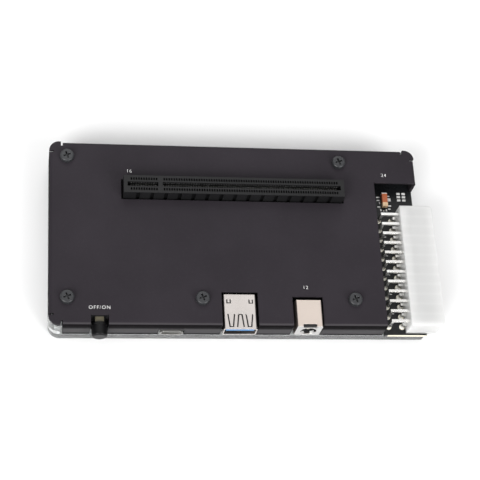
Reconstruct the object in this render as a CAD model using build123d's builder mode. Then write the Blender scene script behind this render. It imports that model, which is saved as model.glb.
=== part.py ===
from build123d import *
import os
from math import cos, radians

# Docking enclosure for a graphics card: a folded sheet cover over a clear tray, and a circuit board between.
# Lengths are in millimetres. +X runs right along the front edge, +Y to the rear and +Z up.
# The origin is under the middle of the whole outline, on the surface that the feet stand on.
# Names that end in _X and _Y are places measured from the cover's left edge and from its front face, and
# names that end in _SHIFT are measured from its middle.

# Cover
COVER_WIDTH = 150.0
COVER_DEPTH = 78.0
SHEET = 1.2
FLANGE_HEIGHT = 10.0
BEND_RADIUS = 1.6
TAB_WIDTH = 5.0
TAB_DEPTH = 4.4
TAB_FLAT = 0.4
RELIEF_WIDTH = 0.8
RELIEF_DEPTH = 1.9

# Clear tray and feet
TRAY_SKIRT = 5.0
TRAY_FLOOR = 2.0
TRAY_WALL = 3.0
TRAY_RADIUS = 4.5
TRAY_OPEN_RADIUS = 0.8
TRAY_INNER_RADIUS = 2.2
LEDGE_LENGTH = 41.5
BOSS_RADIUS = 3.5
POST_CLEARANCE = 0.3
FOOT_RADIUS = 4.0
FOOT_THICKNESS = 2.3
FOOT_RECESS = 0.8
FOOT_CHAMFER = 0.4
FOOT_INSET = 10.0

# Fasteners
SCREW_LEFT_INSET = 7.0
SCREW_REAR_INSET = 6.75
SCREW_FRONT_INSET = 11.0
SCREW_REAR_SETBACK = 32.4
SCREW_FRONT_SETBACK = 30.4
SCREW_PORT_GAP = 8.1
SCREW_TIP_GAP = 1.0
SCREW_RADIUS = 1.45
SCREW_HEAD_RADIUS = 2.75
SCREW_HEAD_HEIGHT = 1.9
SCREW_DOME = 0.7
RECESS_LENGTH = 3.0
RECESS_WIDTH = 0.75
RECESS_DEPTH = 1.0
RECESS_TURN = 20.0
SCREW_HOLE_RADIUS = 1.6
INSERT_RADIUS = 2.3
INSERT_LENGTH = 5.0
INSERT_BORE_RADIUS = 1.5
SPACER_FLATS = 5.5

# Circuit board
BOARD_THICKNESS = 1.6
BOARD_LIFT = 1.2
BOARD_CLEARANCE = 0.4
EAR_PROUD = 0.9

# Card slot
SLOT_SHIFT = -1.5
SLOT_SETBACK = 16.8
SLOT_LENGTH = 89.0
SLOT_WIDTH = 7.5
SLOT_HEIGHT = 12.3
SLOT_GAP_ENDS = 0.6
SLOT_GAP_SIDES = 0.6
CONTACT_PITCH = 1.0
SHORT_CONTACTS = 11
FIRST_CONTACT = 3.0
MOUTH_MARGIN = 1.5
KEY_STEP = 3.0
KEY_RIB = 1.8
MOUTH_WIDTH = 1.9
MOUTH_DEPTH = 8.5
WINDOW_SPREAD = 2.2
WINDOW_WIDTH = 0.55
WINDOW_LENGTH = 1.1
WINDOW_DEPTH = 1.6
CONTACT_WIDTH = 0.45
CONTACT_THICKNESS = 0.35
CONTACT_DROP = 0.7
RIB_PITCH = 5.53
RIB_MARGIN = 4.0
RIB_GROOVE_WIDTH = 1.5
RIB_GROOVE_DEPTH = 0.8
RIB_RIM = 0.5

# Power header
HEADER_OVERHANG = 4.4
HEADER_DEPTH = 13.4
HEADER_Y = -0.2
HEADER_COLUMNS = 12
HEADER_PITCH = 4.2
HEADER_MARGIN = 2.7
HEADER_HEIGHT = 9.8
HEADER_LOW_ROW = 2.7
HEADER_CORNER = 1.6
CELL_SIZE = 3.4
CELL_DEPTH = 10.6
CELL_CHAMFER = 0.9
PIN_SIZE = 1.07
PIN_CLEARANCE = 0.1
PIN_REACH = 8.0
PIN_TAIL = 0.8
PIN_BEND = 1.0
UPPER_TAIL_SETBACK = 6.8
LOWER_TAIL_SETBACK = 1.3
TAIL_ROOM = 2.2
PARTS_ROOM = 11.5

# Wide data port
USB_A_SHIFT = -1.35
USB_A_WIDTH = 13.1
USB_A_DEPTH = 14.4
USB_A_HEIGHT = 6.2
USB_A_PROUD = 1.0
USB_A_SHEET = 0.4
USB_A_ROUND = 0.8
USB_A_LIP = 0.8
USB_A_GAP = 0.6
TONGUE_A_WIDTH = 11.1
TONGUE_A_THICKNESS = 1.8
TONGUE_A_LENGTH = 8.6
TONGUE_A_DROP = 0.7
TONGUE_A_SETBACK = 0.4
TONGUE_A_CLEARANCE = 0.4
FINGER_LENGTH = 5.4
FINGER_SLIT = 0.4
FINGER_WIDE = 3.0
FINGER_NARROW = 1.7
FINGER_STEP = 3.57
CATCH_SIZE = 1.7
CATCH_STEP = 4.37
CATCH_SETBACK = 3.0

# Small reversible port
USB_C_CENTRE_X = 47.3
USB_C_WIDTH = 8.94
USB_C_HEIGHT = 3.2
USB_C_DEPTH = 7.4
USB_C_PROUD = 0.6
USB_C_SHEET = 0.3
USB_C_SINK = 1.6
USB_C_GAP = 0.5
TONGUE_C_WIDTH = 6.7
TONGUE_C_THICKNESS = 0.7
TONGUE_C_LENGTH = 4.6
TONGUE_C_BLOCK = 1.6

# Power jack
JACK_INSET = 44.5
JACK_WIDTH = 10.0
JACK_DEPTH = 11.4
JACK_HEIGHT = 8.8
JACK_PROUD = 1.0
JACK_SHEET = 0.4
JACK_GAP = 1.0
JACK_REAR_GAP = 1.8
JACK_BORE_RADIUS = 3.2
JACK_BORE_DEPTH = 9.4
JACK_PIN_RADIUS = 1.25
JACK_PIN_SETBACK = 1.2
JACK_PIN_ROUND = 0.6
JACK_NOTCH_WIDTH = 5.4
JACK_NOTCH_DEPTH = 1.3
JACK_NOTCH_DROP = 0.8
JACK_SPRING_WIDTH = 1.6
JACK_SPRING_THICKNESS = 0.35
JACK_SPRING_LENGTH = 7.0

# Power button
BUTTON_CENTRE_X = 19.4
BUTTON_RADIUS = 3.05
BUTTON_PROUD = 3.5
BUTTON_LENGTH = 5.4
BUTTON_TRAVEL = 2.0
BUTTON_LIFT = 0.15
BUTTON_GAP = 0.35
BUTTON_ROOM = 0.25
BUTTON_ROUND = 0.8
BUTTON_COLLAR = 0.7
BUTTON_GROOVE_WIDTH = 0.5
BUTTON_GROOVE_DEPTH = 0.2
SWITCH_WIDTH = 7.0
SWITCH_LENGTH = 8.0
SWITCH_SETBACK = 0.3
PLUNGER_SIZE = 3.4
PLUNGER_CLEARANCE = 0.1
PLUNGER_IN_CAP = 2.6
PLUNGER_IN_BODY = 4.4
TERMINAL_PITCH = 2.0
TERMINAL_ROWS = 3
TERMINAL_LENGTH = 1.2
TERMINAL_WIDTH = 0.6
TERMINAL_THICKNESS = 0.25

# Small parts on the board. A size is a width, a depth and a height.
UNDER_COVER_GAP = 0.5
TANTALUM_SIZE = (2.2, 6.0, 1.8)
TANTALUM_FROM_HEADER = 3.4
TANTALUM_FROM_CUT = 4.9
CHIP_SIZE = (1.4, 0.8, 0.5)
CHIP_COLUMNS = 2
CHIP_ROWS = 3
CHIP_COLUMN_STEP = 2.2
CHIP_ROW_STEP = 1.5
CHIP_FROM_RIGHT = 5.0
CHIP_FROM_CUT = 3.1
CONTROLLER_SIZE = (10.7, 10.7, 1.2)
CONTROLLER_SHIFT = (-13.0, -3.0)
HEAT_SINK_SIDE = 20.0
HEAT_SINK_BASE = 1.4
HEAT_SINK_FIN = 1.2
HEAT_SINK_FINS = 6
MEMORY_SIZE = (5.3, 6.2, 1.7)
MEMORY_SHIFT = (-33.0, -3.5)
MEMORY_CHIPS = 2
MEMORY_STEP = 11.0
POWER_STAGES = 3
POWER_STEP = 10.0
INDUCTOR_SIZE = (7.0, 7.0, 3.6)
INDUCTOR_CHAMFER = 0.8
INDUCTOR_SHIFT = (33.0, 5.0)
TRANSISTOR_SIZE = (5.0, 6.0, 1.0)
TRANSISTOR_SHIFT = (33.0, -5.0)
POLYMER_CAN_RADIUS = 3.15
POLYMER_CAN_SHIFT = (35.0, -16.0)
CRYSTAL_SIZE = (3.2, 2.5, 0.8)
CRYSTAL_SHIFTS = ((-25.0, 9.0), (5.0, -13.0))

# Places and sizes that follow
LEFT = -(COVER_WIDTH + HEADER_OVERHANG) / 2
FRONT = (BUTTON_PROUD - COVER_DEPTH) / 2
RIGHT = LEFT + COVER_WIDTH
REAR = FRONT + COVER_DEPTH
CENTRE = (LEFT + COVER_WIDTH / 2, FRONT + COVER_DEPTH / 2)
TAB_RADIUS = min(TAB_WIDTH, TAB_DEPTH) - TAB_FLAT
TRAY_BOTTOM = FOOT_THICKNESS - FOOT_RECESS
TRAY_TOP = TRAY_BOTTOM + TRAY_SKIRT
FLOOR_TOP = TRAY_BOTTOM + TRAY_FLOOR
COVER_TOP = TRAY_TOP + FLANGE_HEIGHT
SHEET_UNDER = COVER_TOP - SHEET
BOARD_BOTTOM = TRAY_TOP + BOARD_LIFT
BOARD_TOP = BOARD_BOTTOM + BOARD_THICKNESS
HEADER_LENGTH = 2 * HEADER_MARGIN + (HEADER_COLUMNS - 1) * HEADER_PITCH
HEADER_BACK = RIGHT + HEADER_OVERHANG - HEADER_DEPTH
HEADER_FRONT = RIGHT + HEADER_OVERHANG
HEADER_LOW = FRONT + HEADER_Y
UPPER_TAIL = HEADER_BACK - UPPER_TAIL_SETBACK
LOWER_TAIL = HEADER_BACK - LOWER_TAIL_SETBACK
CUT_LEFT = UPPER_TAIL - TAIL_ROOM
CUT_REAR = HEADER_LOW + HEADER_LENGTH + PARTS_ROOM
ROWS_Z = (BOARD_TOP + HEADER_LOW_ROW, BOARD_TOP + HEADER_LOW_ROW + HEADER_PITCH)
SLOT_LEFT = CENTRE[0] + SLOT_SHIFT - SLOT_LENGTH / 2
SLOT_RIGHT = SLOT_LEFT + SLOT_LENGTH
SLOT_REAR = REAR - SLOT_SETBACK
SLOT_FRONT = SLOT_REAR - SLOT_WIDTH
USB_A_MIDDLE = CENTRE[0] + USB_A_SHIFT
USB_A_LEFT = USB_A_MIDDLE - USB_A_WIDTH / 2
USB_A_RIGHT = USB_A_MIDDLE + USB_A_WIDTH / 2
JACK_RIGHT = RIGHT - JACK_INSET
JACK_LEFT = JACK_RIGHT - JACK_WIDTH
BUTTON_Z = BOARD_TOP + BUTTON_RADIUS + BUTTON_LIFT
BUTTON_REAR_Y = BUTTON_LENGTH - BUTTON_PROUD
SWITCH_Y = BUTTON_REAR_Y + BUTTON_TRAVEL + SWITCH_SETBACK
SCREWS = [
    (LEFT + SCREW_LEFT_INSET, REAR - SCREW_REAR_INSET),
    (RIGHT - SCREW_REAR_SETBACK, REAR - SCREW_REAR_INSET),
    (LEFT + SCREW_LEFT_INSET, FRONT + SCREW_FRONT_INSET),
    (USB_A_LEFT - SCREW_PORT_GAP, FRONT + SCREW_FRONT_INSET),
    (RIGHT - SCREW_FRONT_SETBACK, FRONT + SCREW_FRONT_INSET),
]
CORNERS = [(LEFT, FRONT, 1, 1), (LEFT, REAR, 1, -1), (RIGHT, REAR, -1, -1)]

os.makedirs("parts", exist_ok=True)


def level(height):
    """Horizontal sketch plane at a height."""
    return Plane.XY.offset(height)


def facing_front(y):
    """Upright sketch plane at y that looks to the front, with its own x and y along X and Z."""
    return Plane((0, y, 0), x_dir=(1, 0, 0), z_dir=(0, -1, 0))


def facing_right(x):
    """Upright sketch plane at x that looks right, with its own x and y along Y and Z."""
    return Plane((x, 0, 0), x_dir=(0, 1, 0), z_dir=(1, 0, 0))


def rectangle_between(low, high):
    """Adds the rectangle between two corners to the sketch in progress."""
    with Locations(((low[0] + high[0]) / 2, (low[1] + high[1]) / 2)):
        Rectangle(high[0] - low[0], high[1] - low[1])


def save(piece, name):
    """Labels a finished piece and writes it out."""
    piece.part.label = name
    export_step(piece.part, f"parts/{name}.step")


# Folded cover: a shallow pan with its corners opened, flat rounded tabs left there, and cut-outs for fittings
def corner_block(corner, width, depth):
    """Adds the rectangle at a corner of the cover that reaches inwards by a width and a depth."""
    x, y, to_x, to_y = corner
    xs = sorted((x, x + to_x * width))
    ys = sorted((y, y + to_y * depth))
    rectangle_between((xs[0], ys[0]), (xs[1], ys[1]))


with BuildPart() as top_cover:
    with BuildSketch(level(TRAY_TOP)):
        rectangle_between((LEFT, FRONT), (RIGHT, REAR))
    extrude(amount=FLANGE_HEIGHT)
    fillet(top_cover.faces().sort_by(Axis.Z)[-1].edges(), BEND_RADIUS)
    with BuildSketch(level(TRAY_TOP)):
        rectangle_between((LEFT + SHEET, FRONT + SHEET), (RIGHT - SHEET, REAR - SHEET))
    extrude(amount=FLANGE_HEIGHT - SHEET, mode=Mode.SUBTRACT)
    with BuildSketch(level(TRAY_TOP)):
        for corner in CORNERS:
            corner_block(corner, TAB_WIDTH, TAB_DEPTH)
        rectangle_between((CUT_LEFT, FRONT), (RIGHT, CUT_REAR))
    extrude(amount=FLANGE_HEIGHT, mode=Mode.SUBTRACT)
    for corner in CORNERS:
        with BuildSketch(level(SHEET_UNDER)) as tab:
            corner_block(corner, TAB_WIDTH, TAB_DEPTH)
            outer = tab.vertices().sort_by_distance((corner[0], corner[1]))[0]
            fillet(outer, TAB_RADIUS)
        extrude(amount=SHEET)
    with BuildSketch(level(TRAY_TOP)):
        for x, y, to_x, to_y in CORNERS:
            with Locations((x + to_x * TAB_WIDTH, y)):
                Rectangle(RELIEF_WIDTH, RELIEF_DEPTH * 2)
            with Locations((x, y + to_y * TAB_DEPTH)):
                Rectangle(RELIEF_DEPTH * 2, RELIEF_WIDTH)
    extrude(amount=FLANGE_HEIGHT, mode=Mode.SUBTRACT)
    with BuildSketch(level(TRAY_TOP)):
        rectangle_between(
            (SLOT_LEFT - SLOT_GAP_ENDS, SLOT_FRONT - SLOT_GAP_SIDES),
            (SLOT_RIGHT + SLOT_GAP_ENDS, SLOT_REAR + SLOT_GAP_SIDES),
        )
        rectangle_between(
            (USB_A_LEFT - USB_A_GAP, FRONT),
            (USB_A_RIGHT + USB_A_GAP, FRONT + USB_A_DEPTH - USB_A_PROUD + USB_A_GAP),
        )
        rectangle_between(
            (JACK_LEFT - JACK_GAP, FRONT),
            (JACK_RIGHT + JACK_GAP, FRONT + JACK_DEPTH - JACK_PROUD + JACK_REAR_GAP),
        )
        rectangle_between(
            (LEFT + BUTTON_CENTRE_X - BUTTON_RADIUS - BUTTON_GAP, FRONT),
            (LEFT + BUTTON_CENTRE_X + BUTTON_RADIUS + BUTTON_GAP,
             FRONT + BUTTON_REAR_Y + BUTTON_TRAVEL + BUTTON_ROOM),
        )
        with Locations(SCREWS):
            Circle(SCREW_HOLE_RADIUS)
    extrude(amount=FLANGE_HEIGHT, mode=Mode.SUBTRACT)
    with BuildSketch(facing_front(FRONT + SHEET)):
        rectangle_between(
            (LEFT + USB_C_CENTRE_X - USB_C_WIDTH / 2 - USB_C_GAP, TRAY_TOP),
            (LEFT + USB_C_CENTRE_X + USB_C_WIDTH / 2 + USB_C_GAP,
             BOARD_TOP - USB_C_SINK + USB_C_HEIGHT + USB_C_GAP),
        )
    extrude(amount=SHEET, mode=Mode.SUBTRACT)
save(top_cover, "top_cover")

# Clear tray: a floor and a skirt, posts that show at the open corners, and bosses that carry the board
FEET = [
    (x, y)
    for x in (LEFT + FOOT_INSET, RIGHT - FOOT_INSET)
    for y in (FRONT + FOOT_INSET, REAR - FOOT_INSET)
]

with BuildPart() as base_tray:
    with BuildSketch(level(TRAY_BOTTOM)) as outline:
        rectangle_between((LEFT, FRONT), (RIGHT, REAR))
        open_corner = outline.vertices().sort_by_distance((RIGHT, FRONT))[0]
        fillet(open_corner, TRAY_OPEN_RADIUS)
        for x, y, to_x, to_y in CORNERS:
            fillet(outline.vertices().sort_by_distance((x, y))[0], TRAY_RADIUS)
    extrude(amount=TRAY_SKIRT)
    with BuildSketch(level(FLOOR_TOP)):
        with Locations(CENTRE):
            RectangleRounded(COVER_WIDTH - 2 * TRAY_WALL, COVER_DEPTH - 2 * TRAY_WALL, TRAY_INNER_RADIUS)
    extrude(amount=TRAY_SKIRT - TRAY_FLOOR, mode=Mode.SUBTRACT)
    for corner in CORNERS:
        with BuildSketch(level(TRAY_TOP)) as post:
            corner_block(corner, TAB_WIDTH - POST_CLEARANCE, TAB_DEPTH - POST_CLEARANCE)
            outer = post.vertices().sort_by_distance((corner[0], corner[1]))[0]
            fillet(outer, TAB_RADIUS - POST_CLEARANCE)
        extrude(amount=FLANGE_HEIGHT - SHEET)
    with BuildSketch(level(FLOOR_TOP)):
        with Locations(SCREWS):
            Circle(BOSS_RADIUS)
    extrude(amount=BOARD_BOTTOM - FLOOR_TOP)
    with BuildSketch(level(TRAY_TOP)):
        rectangle_between(
            (RIGHT - TRAY_WALL, CUT_REAR - BOARD_CLEARANCE - LEDGE_LENGTH),
            (RIGHT - BOARD_CLEARANCE, CUT_REAR - BOARD_CLEARANCE),
        )
    extrude(amount=BOARD_LIFT)
    with BuildSketch(level(BOARD_BOTTOM)):
        with Locations(SCREWS):
            Circle(INSERT_RADIUS)
    extrude(amount=-INSERT_LENGTH, mode=Mode.SUBTRACT)
    with BuildSketch(level(TRAY_BOTTOM)):
        with Locations(FEET):
            Circle(FOOT_RADIUS)
    extrude(amount=FOOT_RECESS, mode=Mode.SUBTRACT)
save(base_tray, "base_tray")

with BuildPart() as rubber_feet:
    with BuildSketch():
        with Locations(FEET):
            Circle(FOOT_RADIUS)
    extrude(amount=FOOT_THICKNESS)
    chamfer(rubber_feet.faces().filter_by(Axis.Z).group_by(Axis.Z)[0].edges(), FOOT_CHAMFER)
save(rubber_feet, "rubber_feet")

# Fasteners: inserts in the tray's bosses, spacers between board and cover, and pan-head screws through all
with BuildPart() as threaded_inserts:
    with BuildSketch(level(BOARD_BOTTOM - INSERT_LENGTH)):
        with Locations(SCREWS):
            Circle(INSERT_RADIUS)
            Circle(INSERT_BORE_RADIUS, mode=Mode.SUBTRACT)
    extrude(amount=INSERT_LENGTH)
save(threaded_inserts, "threaded_inserts")

with BuildPart() as board_spacers:
    with BuildSketch(level(BOARD_TOP)):
        with Locations(SCREWS):
            RegularPolygon(SPACER_FLATS / 2 / cos(radians(30)), 6)
            Circle(SCREW_HOLE_RADIUS, mode=Mode.SUBTRACT)
    extrude(amount=SHEET_UNDER - BOARD_TOP)
save(board_spacers, "board_spacers")

with BuildPart() as cover_screws:
    with BuildSketch(level(BOARD_BOTTOM - INSERT_LENGTH + SCREW_TIP_GAP)):
        with Locations(SCREWS):
            Circle(SCREW_RADIUS)
    extrude(amount=COVER_TOP - BOARD_BOTTOM + INSERT_LENGTH - SCREW_TIP_GAP)
    with BuildSketch(level(COVER_TOP)):
        with Locations(SCREWS):
            Circle(SCREW_HEAD_RADIUS)
    extrude(amount=SCREW_HEAD_HEIGHT)
    fillet(cover_screws.edges().filter_by(GeomType.CIRCLE).group_by(Axis.Z)[-1], SCREW_DOME)
    with BuildSketch(level(COVER_TOP + SCREW_HEAD_HEIGHT)):
        with Locations(SCREWS):
            Rectangle(RECESS_LENGTH, RECESS_WIDTH, rotation=RECESS_TURN)
            Rectangle(RECESS_WIDTH, RECESS_LENGTH, rotation=RECESS_TURN)
    extrude(amount=-RECESS_DEPTH, mode=Mode.SUBTRACT)
save(cover_screws, "cover_screws")

# Circuit board: clear of the flanges, with an ear that fills the open corner and stands a little proud there
PIN_ROW_Y = [HEADER_LOW + HEADER_MARGIN + i * HEADER_PITCH for i in range(HEADER_COLUMNS)]
PIN_HOLE = PIN_SIZE + 2 * PIN_CLEARANCE
BOARD_INSET = SHEET + BOARD_CLEARANCE

with BuildPart() as main_board:
    with BuildSketch(level(BOARD_BOTTOM)):
        rectangle_between((LEFT + BOARD_INSET, FRONT + BOARD_INSET), (RIGHT - BOARD_INSET, REAR - BOARD_INSET))
        rectangle_between(
            (CUT_LEFT + BOARD_CLEARANCE, FRONT - EAR_PROUD),
            (RIGHT - BOARD_CLEARANCE, CUT_REAR - BOARD_CLEARANCE),
        )
    extrude(amount=BOARD_THICKNESS)
    with BuildSketch(level(BOARD_BOTTOM)):
        for corner in CORNERS:
            corner_block(corner, TAB_WIDTH + BOARD_CLEARANCE, TAB_DEPTH + BOARD_CLEARANCE)
        rectangle_between(
            (LEFT + USB_C_CENTRE_X - USB_C_WIDTH / 2 - BOARD_CLEARANCE, FRONT),
            (LEFT + USB_C_CENTRE_X + USB_C_WIDTH / 2 + BOARD_CLEARANCE,
             FRONT + USB_C_DEPTH - USB_C_PROUD + BOARD_CLEARANCE),
        )
        with Locations(SCREWS):
            Circle(SCREW_HOLE_RADIUS)
        with Locations([(x, y) for x in (UPPER_TAIL, LOWER_TAIL) for y in PIN_ROW_Y]):
            Rectangle(PIN_HOLE, PIN_HOLE)
    extrude(amount=BOARD_THICKNESS, mode=Mode.SUBTRACT)
save(main_board, "main_board")

# Card slot: a ribbed housing with a keyed mouth, a row of windows on each side and one contact at each window
SLOT_CENTRE = ((SLOT_LEFT + SLOT_RIGHT) / 2, (SLOT_FRONT + SLOT_REAR) / 2)
SLOT_TOP = BOARD_TOP + SLOT_HEIGHT
LONG_RUN = SLOT_LENGTH - 2 * FIRST_CONTACT - (SHORT_CONTACTS - 1) * CONTACT_PITCH - KEY_STEP
LONG_CONTACTS = round(LONG_RUN / CONTACT_PITCH) + 1
RIB_COUNT = int((SLOT_LENGTH - 2 * RIB_MARGIN) / RIB_PITCH) + 1
CONTACTS = [
    SLOT_LEFT + FIRST_CONTACT + i * CONTACT_PITCH + (0 if i < SHORT_CONTACTS else KEY_STEP - CONTACT_PITCH)
    for i in range(SHORT_CONTACTS + LONG_CONTACTS)
]
KEY_CENTRE = (CONTACTS[SHORT_CONTACTS - 1] + CONTACTS[SHORT_CONTACTS]) / 2
MOUTH_ENDS = [
    (CONTACTS[0] - MOUTH_MARGIN, KEY_CENTRE - KEY_RIB / 2),
    (KEY_CENTRE + KEY_RIB / 2, CONTACTS[-1] + MOUTH_MARGIN),
]

with BuildPart() as slot_housing:
    with BuildSketch(level(BOARD_TOP)):
        with Locations(SLOT_CENTRE):
            Rectangle(SLOT_LENGTH, SLOT_WIDTH)
    extrude(amount=SLOT_HEIGHT)
    with BuildSketch(level(SLOT_TOP)):
        for start, end in MOUTH_ENDS:
            rectangle_between(
                (start, SLOT_CENTRE[1] - MOUTH_WIDTH / 2), (end, SLOT_CENTRE[1] + MOUTH_WIDTH / 2)
            )
    extrude(amount=-MOUTH_DEPTH, mode=Mode.SUBTRACT)
    with BuildSketch(level(SLOT_TOP)):
        with Locations([(x, SLOT_CENTRE[1] + side * WINDOW_SPREAD) for x in CONTACTS for side in (-1, 1)]):
            Rectangle(WINDOW_WIDTH, WINDOW_LENGTH)
    extrude(amount=-WINDOW_DEPTH, mode=Mode.SUBTRACT)
    with BuildSketch(level(BOARD_TOP)):
        with Locations(SLOT_CENTRE):
            with GridLocations(RIB_PITCH, SLOT_WIDTH, RIB_COUNT, 2):
                Rectangle(RIB_GROOVE_WIDTH, 2 * RIB_GROOVE_DEPTH)
    extrude(amount=SLOT_HEIGHT - RIB_RIM, mode=Mode.SUBTRACT)
save(slot_housing, "slot_housing")

with BuildPart() as slot_contacts:
    with BuildSketch(level(SLOT_TOP - MOUTH_DEPTH)):
        wall = (MOUTH_WIDTH - CONTACT_THICKNESS) / 2
        with Locations([(x, SLOT_CENTRE[1] + side * wall) for x in CONTACTS for side in (-1, 1)]):
            Rectangle(CONTACT_WIDTH, CONTACT_THICKNESS)
    extrude(amount=MOUTH_DEPTH - CONTACT_DROP)
save(slot_contacts, "slot_contacts")

# Power header: a housing with two rows of keyed cells that open to the right, and bent square pins behind
KEYED_COLUMNS = (PIN_ROW_Y[0::2], PIN_ROW_Y[1::2])

with BuildPart() as atx_housing:
    with BuildSketch(level(BOARD_TOP)):
        rectangle_between((HEADER_BACK, HEADER_LOW), (HEADER_FRONT, HEADER_LOW + HEADER_LENGTH))
    extrude(amount=HEADER_HEIGHT)
    fillet(atx_housing.edges().filter_by(Axis.Z).group_by(Axis.X)[-1], HEADER_CORNER)
    for row, z in enumerate(ROWS_Z):
        for keyed in (0, 1):
            with BuildSketch(facing_right(HEADER_FRONT)) as cells:
                with Locations([(y, z) for y in KEYED_COLUMNS[(row + keyed) % 2]]):
                    Rectangle(CELL_SIZE, CELL_SIZE)
                if keyed:
                    chamfer(cells.vertices().group_by(Axis.Z)[0], CELL_CHAMFER)
            extrude(amount=-CELL_DEPTH, mode=Mode.SUBTRACT)
    with BuildSketch(facing_right(HEADER_BACK)):
        with Locations([(y, z) for y in PIN_ROW_Y for z in ROWS_Z]):
            Rectangle(PIN_HOLE, PIN_HOLE)
    extrude(amount=HEADER_DEPTH - CELL_DEPTH, mode=Mode.SUBTRACT)
save(atx_housing, "atx_housing")


def bent_pin(y, tail_x, height):
    """Side profile of a square pin that leaves the housing level and turns down through the board."""
    tip = HEADER_FRONT - CELL_DEPTH + PIN_REACH
    half = PIN_SIZE / 2
    with BuildSketch(facing_front(y + half)) as profile:
        rectangle_between((tail_x - half, height - half), (tip, height + half))
        rectangle_between((tail_x - half, BOARD_BOTTOM - PIN_TAIL), (tail_x + half, height + half))
        fillet(profile.vertices().sort_by_distance((tail_x - half, y + half, height + half))[0], PIN_BEND)
    return profile.sketch


with BuildPart() as atx_upper_pins:
    for y in PIN_ROW_Y:
        extrude(bent_pin(y, UPPER_TAIL, ROWS_Z[1]), amount=PIN_SIZE)
save(atx_upper_pins, "atx_upper_pins")

with BuildPart() as atx_lower_pins:
    for y in PIN_ROW_Y:
        extrude(bent_pin(y, LOWER_TAIL, ROWS_Z[0]), amount=PIN_SIZE)
save(atx_lower_pins, "atx_lower_pins")

# Wide data port: a sheet shell with slit spring fingers, a moulded tongue and its contacts
USB_A_FRONT = FRONT - USB_A_PROUD
USB_A_REAR = USB_A_FRONT + USB_A_DEPTH
USB_A_TOP = BOARD_TOP + USB_A_HEIGHT


def add_finger_slit(x, front, back, front_width, back_width):
    """Adds the slit round three sides of a tapered spring finger to the sketch in progress."""
    outer = [(x - back_width / 2, back), (x + back_width / 2, back),
             (x + front_width / 2, front), (x - front_width / 2, front)]
    inner_back = back_width - 2 * FINGER_SLIT
    inner_front = front_width - 2 * FINGER_SLIT
    lift = FINGER_SLIT if front_width < back_width else 0
    drop = 0 if front_width < back_width else FINGER_SLIT
    inner = [(x - inner_back / 2, back - drop), (x + inner_back / 2, back - drop),
             (x + inner_front / 2, front + lift), (x - inner_front / 2, front + lift)]
    Polygon(*outer, align=None)
    Polygon(*inner, align=None, mode=Mode.SUBTRACT)


with BuildPart() as usb_a_shell:
    with BuildSketch(facing_front(USB_A_REAR)):
        with Locations((USB_A_MIDDLE, BOARD_TOP + USB_A_HEIGHT / 2)):
            RectangleRounded(USB_A_WIDTH, USB_A_HEIGHT, USB_A_ROUND)
    extrude(amount=USB_A_DEPTH)
    with BuildSketch(facing_front(USB_A_REAR - USB_A_SHEET)):
        with Locations((USB_A_MIDDLE, BOARD_TOP + USB_A_HEIGHT / 2)):
            RectangleRounded(
                USB_A_WIDTH - 2 * USB_A_SHEET, USB_A_HEIGHT - 2 * USB_A_SHEET, USB_A_ROUND - USB_A_SHEET
            )
    extrude(amount=USB_A_DEPTH, mode=Mode.SUBTRACT)
    with BuildSketch(level(USB_A_TOP)):
        tip = USB_A_FRONT + USB_A_LIP
        root = tip + FINGER_LENGTH
        for side in (-1, 1):
            add_finger_slit(USB_A_MIDDLE + side * FINGER_STEP, tip, root, FINGER_NARROW, FINGER_WIDE)
        add_finger_slit(USB_A_MIDDLE, tip, root, FINGER_WIDE, FINGER_NARROW)
        with Locations(
            (USB_A_MIDDLE - CATCH_STEP, USB_A_REAR - CATCH_SETBACK),
            (USB_A_MIDDLE + CATCH_STEP, USB_A_REAR - CATCH_SETBACK),
        ):
            Rectangle(CATCH_SIZE, CATCH_SIZE)
        with Locations(
            (USB_A_MIDDLE - CATCH_STEP, USB_A_REAR - CATCH_SETBACK + FINGER_SLIT),
            (USB_A_MIDDLE + CATCH_STEP, USB_A_REAR - CATCH_SETBACK + FINGER_SLIT),
        ):
            Rectangle(CATCH_SIZE - 2 * FINGER_SLIT, CATCH_SIZE, mode=Mode.SUBTRACT)
    extrude(amount=-USB_A_SHEET, mode=Mode.SUBTRACT)
save(usb_a_shell, "usb_a_shell")

TONGUE_A_TOP = USB_A_TOP - USB_A_SHEET - TONGUE_A_DROP
TONGUE_A_TIP = USB_A_FRONT + TONGUE_A_SETBACK
USB_A_INSIDE = USB_A_WIDTH - 2 * (USB_A_SHEET + TONGUE_A_CLEARANCE)

with BuildPart() as usb_a_tongue:
    with BuildSketch(facing_front(USB_A_REAR - USB_A_SHEET)):
        rectangle_between(
            (USB_A_MIDDLE - USB_A_INSIDE / 2, BOARD_TOP + USB_A_SHEET),
            (USB_A_MIDDLE + USB_A_INSIDE / 2, USB_A_TOP - USB_A_SHEET),
        )
    extrude(amount=USB_A_REAR - USB_A_SHEET - TONGUE_A_TIP - TONGUE_A_LENGTH)
    with BuildSketch(facing_front(TONGUE_A_TIP + TONGUE_A_LENGTH)):
        rectangle_between(
            (USB_A_MIDDLE - TONGUE_A_WIDTH / 2, TONGUE_A_TOP - TONGUE_A_THICKNESS),
            (USB_A_MIDDLE + TONGUE_A_WIDTH / 2, TONGUE_A_TOP),
        )
    extrude(amount=TONGUE_A_LENGTH)
save(usb_a_tongue, "usb_a_tongue")

USB_A_CONTACTS = 4
USB_A_CONTACT_PITCH = 2.5
USB_A_CONTACT_SIZE = (1.0, 6.0, 0.2)

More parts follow.
